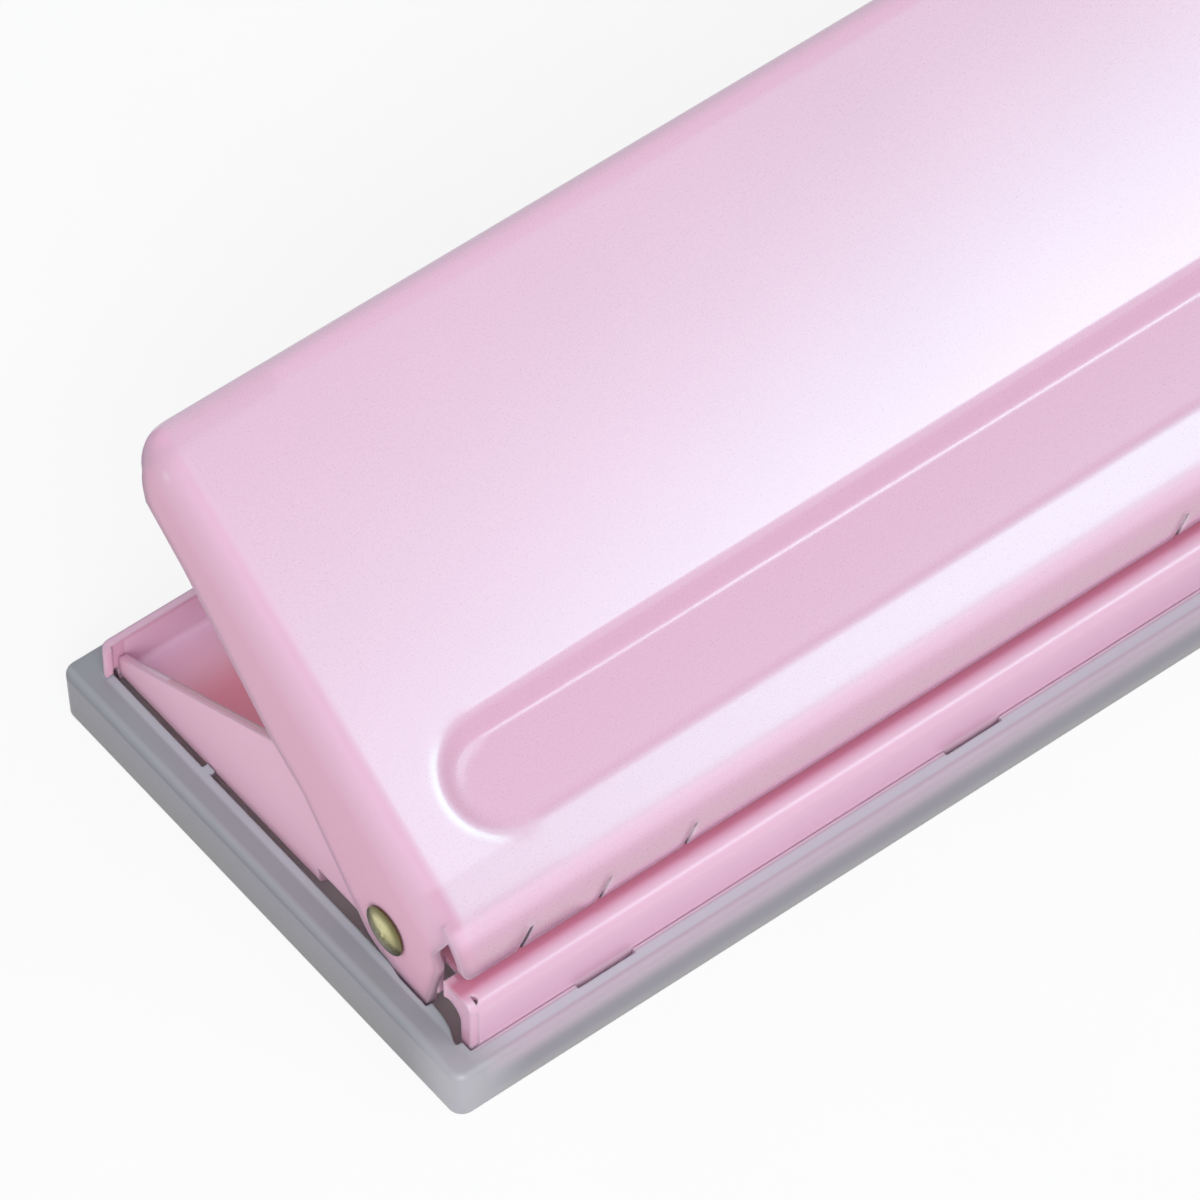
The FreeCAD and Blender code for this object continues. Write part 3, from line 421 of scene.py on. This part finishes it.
# Where the white painted highlight runs round the dish's ends, and the painted spot at each rear corner.
HIGHLIGHT_START = (-0.0001, 0.0007)
HIGHLIGHT_END = (0.0007, 0.0022)
HIGHLIGHT_PAST_STRAIGHT = (0.0030, 0.0070)
HIGHLIGHT_ACROSS = (0.0065, 0.0112)
HIGHLIGHT_STRENGTH = 0.45

REAR_CORNER = (0.1536, 0.0822, 0.0165)
CORNER_REACH = (0.0003, 0.0014)
CORNER_STRETCH = 2.0
CORNER_STRENGTH = 0.55


def past_dish(tree, end, back):
    """How far a place lies outside the dish's outline, past its straight sides and across its middle."""
    past = calculate(tree, "SUBTRACT", end, DISH_STRAIGHT)
    across = calculate(tree, "SUBTRACT", back, DISH_CENTRE)
    reach = length(tree, calculate(tree, "MAXIMUM", past, 0.0), across)
    return calculate(tree, "SUBTRACT", reach, DISH_HALF_WIDTH), past, across


def painted_highlights(tree, end, back, above):
    """Painted highlights: a white line just outside the dish's ends, and a spot at each rear corner."""
    outside, past, across = past_dish(tree, end, back)
    rim = all_of(tree, map_range(tree, outside, HIGHLIGHT_START, (0.0, HIGHLIGHT_STRENGTH)),
                 fall(tree, outside, HIGHLIGHT_END),
                 rise(tree, past, HIGHLIGHT_PAST_STRAIGHT),
                 fall(tree, across, HIGHLIGHT_ACROSS))
    outward = calculate(tree, "SUBTRACT", end, REAR_CORNER[0])
    rearward = calculate(tree, "SUBTRACT", back, REAR_CORNER[1])
    upward = calculate(tree, "SUBTRACT", above, REAR_CORNER[2])
    shortened = calculate(tree, "DIVIDE", rearward, CORNER_STRETCH)
    to_corner = length(tree, length(tree, outward, shortened), upward)
    corner = map_range(tree, to_corner, CORNER_REACH, (CORNER_STRENGTH, 0.0))
    return calculate(tree, "MAXIMUM", rim, corner)


print("the dish is %.1f mm long" % (2000 * (DISH_STRAIGHT + DISH_HALF_WIDTH)))

# %% Painted shade and light on the lever
DISH_EDGE = (-0.0012, -0.0002)
STRIP_REAR = (0.0018, 0.0032)
LIP_TOP_START = (-0.0095, -0.0070)
LIP_TOP_END = (-0.0060, -0.0045)
LIP_LOW_START = (-0.0130, -0.0118)
LIP_LOW_END = (-0.0112, -0.0086)
REAR_BEND = (0.0850, 0.0885)
SIDE_BEND_OUTSIDE = (0.1500, 0.1537)
FLANGE_OUTSIDE = (0.1530, 0.1541)
FLANGE_TOP = (0.0120, 0.0155)


def lever_shade(tree, tint):
    """Painted shade on dish, strip, lower lip, side bends, flanges; painted light on lip top, rear bend,
    highlights.
    """
    end, back, above = on_lever(tree)
    outside, _, _ = past_dish(tree, end, back)
    # Painted shade: darker pink in the dish and on the strip before it.
    tint = mix_colour(tree, fall(tree, outside, DISH_EDGE), tint, DISH_PINK)
    tint = mix_colour(tree, fall(tree, back, STRIP_REAR), tint, STRIP_PINK)
    # Painted light on the lip's top, painted shade on its lower half, painted light on the rear bend.
    tint = mix_colour(tree, band(tree, back, LIP_TOP_START, LIP_TOP_END), tint, LIP_TOP_PINK)
    tint = mix_colour(tree, band(tree, back, LIP_LOW_START, LIP_LOW_END), tint, LIP_PINK)
    tint = mix_colour(tree, rise(tree, back, REAR_BEND), tint, REAR_BEND_PINK)
    # Painted shade on the side bends and down the flanges.
    tint = mix_colour(tree, rise(tree, end, SIDE_BEND_OUTSIDE), tint, SIDE_BEND_PINK)
    flange = all_of(tree, rise(tree, end, FLANGE_OUTSIDE), fall(tree, above, FLANGE_TOP))
    tint = mix_colour(tree, flange, tint, FLANGE_PINK)
    # White painted highlights round the dish's ends and at the rear corners.
    return mix_colour(tree, painted_highlights(tree, end, back, above), tint, PEARL_PAINTED_HIGHLIGHT)


# %% Painted shade and light on the base
LEDGE_HEIGHT = (0.0198, 0.0204)
LEDGE_FRONT = (-0.0492, -0.0470)
ROOT_FRONT = (-0.0482, -0.0464)
TRAY_RIM_HEIGHT = (0.0104, 0.0112)
FRONT_WALL = (-0.0498, -0.0492)
PAN_SIDE = (0.15095, 0.15110)
PAN_REAR = (0.04840, 0.04870)
PAN_FRONT = (0.002, 0.006)
PAN_TOP = (0.0160, 0.0172)
WALL_HEIGHT = (0.0095, 0.0130)
WALL_NEARNESS = (0.032, 0.050)


def pan_shade(tree, y, z):
    """Painted shade and reflected pink on the pan's floor under the lever, and painted light up its rear
    wall.
    """
    paler = calculate(tree, "MAXIMUM", rise(tree, z, WALL_HEIGHT), rise(tree, y, WALL_NEARNESS))
    return mix_colour(tree, paler, PAN_PINK, REAR_WALL_PINK)


def base_shade(tree, tint):
    """Painted shade on the ledge and in the pan; painted light on the cheeks, rear wall and behind the
    tray's rim.
    """
    end, y, z = mirrored(tree)
    # Painted shade on the ledge under the lip, darkest at its root in the lip's shadow.
    ledge = all_of(tree, rise(tree, z, LEDGE_HEIGHT), rise(tree, y, LEDGE_FRONT))
    tint = mix_colour(tree, ledge, tint, DECK_PINK)
    root = all_of(tree, ledge, rise(tree, y, ROOT_FRONT))
    tint = mix_colour(tree, root, tint, ROOT_PINK)
    # Painted light on the cheeks' outer faces.
    tint = mix_colour(tree, cheek_face(tree, end, y), tint, CHEEK_PINK)
    # Painted light behind the tray's rim, where the gap would show shade.
    behind_rim = all_of(tree, fall(tree, z, TRAY_RIM_HEIGHT), fall(tree, y, FRONT_WALL))
    tint = mix_colour(tree, behind_rim, tint, RIM_GLOW_PINK)
    # Painted shade and reflected pink in the pan under the lever, painted light up its rear wall.
    inside = all_of(tree, fall(tree, end, PAN_SIDE), band(tree, y, PAN_FRONT, PAN_REAR),
                    fall(tree, z, PAN_TOP))
    return mix_colour(tree, inside, tint, pan_shade(tree, y, z))


# %% [markdown]
# ## Spraying the enamel
#
# Sprayed paint drifts slowly in colour, carries fine flakes, and dries with an orange peel about a
# millimetre across. Along an edge it runs thin and pale. These are layers of noise from 70 mm down to
# 0.2 mm in size. Displacing the mesh by them would need millions of faces, so the peel is a bump and
# the flakes only change the gloss.

# %% Layers of the enamel
DRIFT_SCALE = 14.0
DRIFT_FACTOR = 0.96
FLAKE_SCALE = 5200.0
FLAKE_SPREAD = 0.03
PEEL_SCALE = 820.0
PEEL_DEPTH = 0.000006
PAINT_EDGE = 0.0007
EDGE_THINNING = 0.5
EDGE_DULLING = 0.06
WEAR_DULLING = 0.5


def enamel_colour(tree, body, shade, edge):
    """The body colour with its slow drift, its painted shade and light, and its thin, pale edges."""
    drift = rise(tree, noise(tree, place(tree), DRIFT_SCALE, detail=2.0), NOISE_CORE)
    tint = shade(tree, mix_colour(tree, drift, body, shaded(body, DRIFT_FACTOR)))
    return mix_colour(tree, calculate(tree, "MULTIPLY", edge, EDGE_THINNING), tint, PEARL_THIN)


def enamel_gloss(tree, roughness, edge, dulled):
    """The roughness, which flakes break up and edges and wear raise."""
    flakes = noise(tree, place(tree), FLAKE_SCALE, detail=1.0)
    gloss = map_range(tree, flakes, NOISE_SPAN, (roughness - FLAKE_SPREAD, roughness + FLAKE_SPREAD))
    gloss = calculate(tree, "MULTIPLY_ADD", edge, EDGE_DULLING, gloss)
    return calculate(tree, "MULTIPLY_ADD", dulled, WEAR_DULLING, gloss)


def enamel_normal(tree, radius, shape):
    """Orange peel over blended edges, and a pressing's slow curve where it has one."""
    peel = noise(tree, place(tree), PEEL_SCALE, detail=2.0)
    normal = bump(tree, peel, PEEL_DEPTH, soft_normal(tree, radius))
    return shape(tree, normal) if shape else normal


# %% The two enamels
COAT_WEIGHT = 0.25
COAT_ROUGHNESS = 0.12
MICA_TINT = (0.50, 1.0, 1.0, 1.0)


def pearl_paint(name, body, shade, wear, roughness, index, softness, shape=None):
    """Pearl enamel. The shade paints its light and shade, the wear finds dull places, softness is a radius
    or finds one.
    """
    material, tree, shader = new_material(name)
    edge = edge_mask(tree, PAINT_EDGE)
    dulled = wear(tree)
    radius = softness(tree) if callable(softness) else softness
    set_socket(tree, shader.inputs["Base Color"], enamel_colour(tree, body, shade, edge))
    set_socket(tree, shader.inputs["Roughness"], enamel_gloss(tree, roughness, edge, dulled))
    set_socket(tree, shader.inputs["Coat Weight"], map_range(tree, dulled, (0.0, 1.0), (COAT_WEIGHT, 0.0)))
    set_socket(tree, shader.inputs["Normal"], enamel_normal(tree, radius, shape))
    shader.inputs["IOR"].default_value = index
    shader.inputs["Specular Tint"].default_value = MICA_TINT
    shader.inputs["Coat Roughness"].default_value = COAT_ROUGHNESS
    return material


lever_paint = pearl_paint("pearl_pink_lever", LEVER_PINK, lever_shade, lever_wear,
                          roughness=0.30, index=2.4, softness=lever_softness, shape=pressing)
base_paint = pearl_paint("pearl_pink_base", BASE_PINK, base_shade, base_wear,
                         roughness=0.32, index=2.0, softness=BASE_BLEND)
print("enamels:", lever_paint.name, base_paint.name)

# %% [markdown]
# ## Smoky plastic of the chip tray
#
# The tray is moulded from a soft smoky plastic. Real glass-like plastic would need many samples to come
# out smooth, and its frosted skin hides nearly everything anyway. So what lies behind is painted into its
# colour as light and shade, found from the place: pink where the base's walls stand close behind it,
# painted shade along the empty ends and down to their foot, paler painted light on the rims, a painted
# highlight line near the rim's outer edge, a painted glow where the thick front corners gather light, and
# pale painted light inside the hollow.

# %% Tints of the tray
# Painted light and shade for what shows through the plastic: darker ends and foot, paler rims, a highlight
# line, a glow at the front corners, pale light inside and pink behind the front wall.
TRAY_FOOT = colour(141, 140, 142)
TRAY_WALL = colour(145, 144, 153)
TRAY_RIM = colour(167, 171, 178)
TRAY_LIP = colour(197, 204, 212)
TRAY_RIM_HIGHLIGHT = colour(180, 186, 192)
TRAY_PAINTED_GLOW = colour(189, 187, 194)
TRAY_INSIDE_PAINTED_LIGHT = colour(240, 222, 228)
TRAY_RUBBED = colour(210, 214, 220)
FRONT_FOOT = colour(167, 165, 168)
FRONT_LOW = colour(149, 145, 157)
FRONT_HIGH = colour(200, 181, 197)
FRONT_RIM = colour(210, 210, 220)

# %% The tray's ends and front
END_WALL_RISE = (0.0, 0.008)
RIM_HIGHLIGHT_START = (0.1583, 0.1588)
RIM_HIGHLIGHT_END = (0.1592, 0.1597)
LIP_SIDE = (0.1552, 0.1560)
LIP_REAR = (0.0480, 0.0500)

FRONT_FOOT_RISE = (0.0008, 0.0036)
FRONT_WALL_RISE = (0.0045, 0.0092)
FRONT_RIM_START = (-0.0537, -0.0530)
FRONT_RIM_END = (-0.0518, -0.0513)
RIM_INNER_EDGE = (-0.0514, -0.0509)


def side_tint(tree, end, y, z, top):
    """Painted shade along the ends, painted light on the rim and round the opening, and a painted highlight
    line.
    """
    # Painted shade along the empty ends, darker towards the foot; painted light on the rim.
    side = mix_colour(tree, rise(tree, z, END_WALL_RISE), TRAY_FOOT, TRAY_WALL)
    side = mix_colour(tree, top, side, TRAY_RIM)
    # A painted highlight line near the rim's outer edge.
    rim_highlight = all_of(tree, top, band(tree, end, RIM_HIGHLIGHT_START, RIM_HIGHLIGHT_END))
    side = mix_colour(tree, rim_highlight, side, TRAY_RIM_HIGHLIGHT)
    lip = all_of(tree, top, fall(tree, end, LIP_SIDE), fall(tree, y, LIP_REAR))
    return mix_colour(tree, lip, side, TRAY_LIP)


def front_tint(tree, y, z, top):
    """Painted light: pink where the base's front wall stands behind the plastic, grey below, paler on the
    rim.
    """
    # Grey and darker low down, pink painted light where the base's wall stands behind, paler on the rim.
    low = mix_colour(tree, rise(tree, z, FRONT_FOOT_RISE), FRONT_FOOT, FRONT_LOW)
    front = mix_colour(tree, rise(tree, z, FRONT_WALL_RISE), low, FRONT_HIGH)
    middle = all_of(tree, top, band(tree, y, FRONT_RIM_START, FRONT_RIM_END))
    front = mix_colour(tree, middle, front, FRONT_RIM)
    # Painted light at the rim's inner edge.
    return mix_colour(tree, rise(tree, y, RIM_INNER_EDGE), front, RIM_GLOW_PINK)


# %% The whole tray's tint
TRAY_TOP = (0.0096, 0.0103)
FRONT_REAR = (-0.0508, -0.0500)
FRONT_SIDE = (0.1535, 0.1550)
FRONT_CORNER = (0.1600, -0.0545)
CORNER_GLOW = (0.002, 0.016)
HOLLOW_SIDE = (0.1580, 0.1584)
HOLLOW_DEPTH = (0.0525, 0.0529)
HOLLOW_TOP = (0.0084, 0.0090)


def tray_zone(tree):
    """Painted light and shade for what shows through the tray's plastic, with a glow at the front corners.
    """
    end, y, z = mirrored(tree)
    top = rise(tree, z, TRAY_TOP)
    in_front = all_of(tree, fall(tree, y, FRONT_REAR), fall(tree, end, FRONT_SIDE))
    zone = mix_colour(tree, in_front, side_tint(tree, end, y, z, top), front_tint(tree, y, z, top))
    to_corner = length(tree, calculate(tree, "SUBTRACT", end, FRONT_CORNER[0]),
                       calculate(tree, "SUBTRACT", y, FRONT_CORNER[1]))
    # A painted glow at the thick front corners.
    zone = mix_colour(tree, fall(tree, to_corner, CORNER_GLOW), zone, TRAY_PAINTED_GLOW)
    # Pale painted light inside the tray's hollow.
    hollow = all_of(tree, fall(tree, end, HOLLOW_SIDE),
                    fall(tree, calculate(tree, "ABSOLUTE", y), HOLLOW_DEPTH),
                    fall(tree, z, HOLLOW_TOP))
    return mix_colour(tree, hollow, zone, TRAY_INSIDE_PAINTED_LIGHT)


# %% Frosted plastic
FLOW_STRETCH = (6.0, 1.0, 1.0)
FLOW_SCALE = 60.0
FLOW_CLOUDING = 0.06
FROST_SCALE = 2600.0
FROST_DEPTH = 0.000008
FROST_ROUGHNESS = (0.30, 0.40)
MOULD_ROUNDING = 0.0006
RUBBED_SHARE = 0.6


def smoky_plastic():
    """Frosted grey polystyrene with faint flow lines from moulding, over the tray's painted light and
    shade.
    """
    material, tree, shader = new_material("smoky_plastic")
    flow = noise(tree, place(tree, scale=FLOW_STRETCH), FLOW_SCALE, detail=3.0)
    frost = noise(tree, place(tree), FROST_SCALE, detail=2.0)
    clouding = map_range(tree, flow, NOISE_CORE, (0.0, FLOW_CLOUDING))
    tint = mix_colour(tree, clouding, tray_zone(tree), TRAY_FOOT)
    worn = calculate(tree, "MULTIPLY", edge_mask(tree, MOULD_ROUNDING), RUBBED_SHARE)
    set_socket(tree, shader.inputs["Base Color"], mix_colour(tree, worn, tint, TRAY_RUBBED))
    set_socket(tree, shader.inputs["Roughness"], map_range(tree, frost, NOISE_SPAN, FROST_ROUGHNESS))
    normal = bump(tree, frost, FROST_DEPTH, soft_normal(tree, MOULD_ROUNDING))
    set_socket(tree, shader.inputs["Normal"], normal)
    shader.inputs["Transmission Weight"].default_value = 0.2
    shader.inputs["IOR"].default_value = 1.49
    return material


tray_plastic = smoky_plastic()
print("tray plastic:", tray_plastic.name)

# %% [markdown]
# ## Metals
#
# Springs, punches, rail and rivets are bare steel, the snap rings blued steel, the pivot pins brass.
# Each has a drift of colour and a fine grain that breaks up its gloss. A ground or pressed piece has its
# grain drawn out along one axis, and the brass head is painted darker towards its rim, a painted dark
# reflection. One function makes them all, because they differ only in colour, gloss and grain.

# %% Bare metals
METAL_DRIFT_SCALE = 160.0
GRAIN_SCALE = 900.0
GRAIN_DEPTH = 0.000004
METAL_EDGE = 0.0003
EDGE_BRIGHTNESS = 1.25
BRIGHT_LINE = 0.06
DULL_LINE = 0.08


def metal(name, bright, dull, roughness, stretch=(1, 1, 1), grain=GRAIN_SCALE):
    """A metal with a drift of colour, grain stretched along one axis and paler edges."""
    material, tree, shader = new_material(name)
    drift = rise(tree, noise(tree, place(tree), METAL_DRIFT_SCALE, detail=3.0), NOISE_CORE)
    lines = noise(tree, place(tree, scale=stretch), grain, detail=3.0)
    tint = mix_colour(tree, drift, bright, dull)
    tint = mix_colour(tree, edge_mask(tree, METAL_EDGE), tint, shaded(bright, EDGE_BRIGHTNESS))
    gloss = map_range(tree, lines, NOISE_SPAN, (roughness - BRIGHT_LINE, roughness + DULL_LINE))
    set_socket(tree, shader.inputs["Base Color"], tint)
    set_socket(tree, shader.inputs["Roughness"], gloss)
    set_socket(tree, shader.inputs["Normal"], bump(tree, lines, GRAIN_DEPTH))
    shader.inputs["Metallic"].default_value = 1.0
    return material


def paint_dark_rim(material, centre, span, dull):
    """Paints a metal darker around an axis along X over that span of distances from it: a painted dark
    reflection.
    """
    tree = material.node_tree
    socket = tree.nodes["Principled BSDF"].inputs["Base Color"]
    _, y, z = split(tree, place(tree, centre))
    away = rise(tree, length(tree, y, z), span)
    set_socket(tree, socket, mix_colour(tree, away, socket.links[0].from_socket, dull))


# %% The metals of the punch
PIN_DARK_RIM = (0.0022, 0.0045)

pin_brass = metal("pin_brass", colour(214, 208, 160), colour(176, 171, 118), 0.22, grain=1400.0)
# The brass head painted darker towards its rim: a painted dark reflection.
paint_dark_rim(pin_brass, PIVOT, PIN_DARK_RIM, colour(112, 106, 70))
tool_steel = metal("tool_steel", colour(176, 178, 182), colour(140, 142, 148), 0.22, stretch=(1, 1, 8))
guide_steel = metal("guide_steel", colour(190, 192, 194), colour(164, 166, 170), 0.34, stretch=(10, 1, 1))
rivet_steel = metal("rivet_steel", colour(200, 200, 200), colour(170, 171, 174), 0.30)
clip_steel = metal("clip_steel", colour(74, 76, 82), colour(52, 54, 60), 0.36)
spring_steel = metal("spring_steel", colour(168, 170, 174), colour(128, 131, 138), 0.26)
print("metals:", pin_brass.name, tool_steel.name, guide_steel.name, rivet_steel.name, clip_steel.name,
      spring_steel.name)

# %% [markdown]
# ## Each CAD piece gets its finish
#
# One table says which finish a piece wears. A piece that is missing from it stops the script here, which
# is better than a grey piece in the picture.

# %% Finishes by piece
PUNCH_COUNT = 6

FINISHES = {
    "chip_tray": tray_plastic,
    "base_frame": base_paint,
    "lever": lever_paint,
    "press_bar": guide_steel,
    "die_plate": tool_steel,
    "die_plate_rivets": rivet_steel,
    "guide_rail": guide_steel,
    "guide_rail_rivets": rivet_steel,
}
for side in ("left", "right"):
    FINISHES["pivot_pin_" + side] = pin_brass
    FINISHES["pivot_washer_" + side] = guide_steel
    FINISHES["pivot_clip_" + side] = clip_steel
for number in range(1, PUNCH_COUNT + 1):
    FINISHES["punch_pin_%d" % number] = tool_steel
    FINISHES["punch_clip_%d" % number] = clip_steel
    FINISHES["punch_spring_%d" % number] = spring_steel

for name, node in nodes.items():
    for slot in node.material_slots:
        slot.material = FINISHES[name]
print("finishes in use:", len(set(FINISHES.values())))

# %% [markdown]
# ## Copies of the springs
#
# A return spring is one wire coiled round its guide collar, squeezed between the guide rail's shelf and
# the snap ring on the punch. The frame's coil keeps its open length, so with the lever down the ring
# would cut through it. A copy of each coil, with a mesh of its own, stands in for it on the base's body,
# and the frame's coil is hidden. The coil's place and thickness at rest stay those of the frame.

for number in range(1, PUNCH_COUNT + 1):
    frame_coil = "punch_spring_%d" % number
    coil = bpy.data.objects.new("return_spring_%d" % number, nodes[frame_coil].data.copy())
    bpy.context.scene.collection.objects.link(coil)
    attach(coil, "base_body")
    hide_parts(frame_coil)
    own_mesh(coil)

# %% [markdown]
# ## Floor and background
#
# The background is pure white. It is white in the floor's and the sky's own shaders, for rays that show
# them, so that no extra light has to burn the pink enamel out. A share of the floor's plain shading
# stays, and with it the punch's soft shadow.
#
# The tray comes off downward, so on a table it is the punch that is lifted and the tray that stays. The
# floor therefore goes with the tray's body. A floor fixed to the frame would hide the lowered tray.

# %% Rays that show the background
def shown_ray(tree):
    """1 for a ray that shows the background: from the camera, off a gloss or through a clear piece."""
    path = tree.nodes.new("ShaderNodeLightPath")
    either = calculate(tree, "ADD", path.outputs["Is Camera Ray"], path.outputs["Is Glossy Ray"])
    return calculate(tree, "ADD", either, path.outputs["Is Transmission Ray"], clamp=True)


# %% White floor
FLOOR_SIZE = 6.0
FLOOR_DROP = 0.0002
FLOOR_COLOUR = colour(250, 250, 250)
FLOOR_MOTTLE = colour(247, 247, 248)
FLOOR_WHITE = 0.85
MOTTLE_SCALE = 30.0


def floor_material():
    """A pale floor that keeps a share of its shading where it is seen, and the rest pure white."""
    material, tree, shader = new_material("floor")
    pale = rise(tree, noise(tree, place(tree), MOTTLE_SCALE, detail=3.0), NOISE_SPAN)
    set_socket(tree, shader.inputs["Base Color"], mix_colour(tree, pale, FLOOR_COLOUR, FLOOR_MOTTLE))
    shader.inputs["Roughness"].default_value = 0.9
    shader.inputs["Specular IOR Level"].default_value = 0.1
    white = tree.nodes.new("ShaderNodeEmission")
    blend = tree.nodes.new("ShaderNodeMixShader")
    tree.links.new(calculate(tree, "MULTIPLY", shown_ray(tree), FLOOR_WHITE), blend.inputs["Fac"])
    tree.links.new(shader.outputs["BSDF"], blend.inputs[1])
    tree.links.new(white.outputs["Emission"], blend.inputs[2])
    tree.links.new(blend.outputs["Shader"], tree.nodes["Material Output"].inputs["Surface"])
    return material


def add_floor():
    """A plain floor just under the tray. It stays with the tray when the punch is lifted off it."""
    half = FLOOR_SIZE / 2
    mesh = bpy.data.meshes.new("floor")
    corners = [(-half, -half, 0), (half, -half, 0), (half, half, 0), (-half, half, 0)]
    mesh.from_pydata(corners, [], [(0, 1, 2, 3)])
    mesh.materials.append(floor_material())
    floor = bpy.data.objects.new("floor", mesh)
    bpy.context.scene.collection.objects.link(floor)
    floor.location.z = -FLOOR_DROP
    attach(floor, "tray_body")
    return floor


floor = add_floor()
print("%s: %.0f metres wide" % (floor.name, floor.dimensions.x))

# %% White sky
SKY_TINT = (0.94, 0.97, 1.0, 1.0)
SKY_STRENGTH = 0.47
WHITE = (1, 1, 1, 1)


def add_world():
    """A plain white sky where it is seen, and an even, slightly cool light on everything else."""
    world = bpy.data.worlds.new("studio")
    world.use_nodes = True
    tree = world.node_tree
    tree.nodes.clear()
    output = tree.nodes.new("ShaderNodeOutputWorld")
    light = tree.nodes.new("ShaderNodeBackground")
    seen = tree.nodes.new("ShaderNodeBackground")
    choose = tree.nodes.new("ShaderNodeMixShader")
    tree.links.new(shown_ray(tree), choose.inputs["Fac"])
    tree.links.new(light.outputs["Background"], choose.inputs[1])
    tree.links.new(seen.outputs["Background"], choose.inputs[2])
    tree.links.new(choose.outputs["Shader"], output.inputs["Surface"])
    light.inputs["Color"].default_value = SKY_TINT
    light.inputs["Strength"].default_value = SKY_STRENGTH
    seen.inputs["Color"].default_value = WHITE
    seen.inputs["Strength"].default_value = 1.0
    return world


bpy.context.scene.world = add_world()
print("sky:", bpy.context.scene.world.name)

# %% [markdown]
# ## Lamps
#
# A studio lights such a thing with soft boxes, and area lamps mirror as soft boxes do. The plate mirrors
# a large one at the front right towards the camera, which makes the pearl go pale near the rolled lip. A
# small one inside its reach draws the fine line at the foot of the dish. Wide ones from the left fill
# the near end.

# %% Lamps
LAMP_TARGET = Vector((0, 0, 0.03))


def add_light(name, direction, distance, size, power):
    """A rectangular area light in that direction from the target, facing it."""
    data = bpy.data.lights.new(name, "AREA")
    data.shape = "RECTANGLE"
    data.size, data.size_y = size
    data.energy = power
    lamp = bpy.data.objects.new(name, data)
    bpy.context.scene.collection.objects.link(lamp)
    away = Vector(direction).normalized()
    lamp.location = LAMP_TARGET + away * distance
    lamp.rotation_euler = away.to_track_quat("Z", "Y").to_euler()


add_light("key", direction=(0.45, -0.62, 0.66), distance=2.0, size=(0.80, 0.50), power=4.7)
add_light("glint", direction=(0.45, -0.63, 0.64), distance=1.1, size=(0.30, 0.26), power=0.26)
add_light("left_front", direction=(-0.60, -0.68, 0.42), distance=1.6, size=(0.90, 0.90), power=3.4)
add_light("left_high", direction=(-0.50, -0.55, 0.66), distance=1.6, size=(0.90, 0.90), power=10.8)

# %% [markdown]
# ## The end: the view transform
#
# The view transform is Standard, so that a colour comes out as it was written.

# %% View transform
scene_view = bpy.context.scene.view_settings
scene_view.view_transform = "Standard"
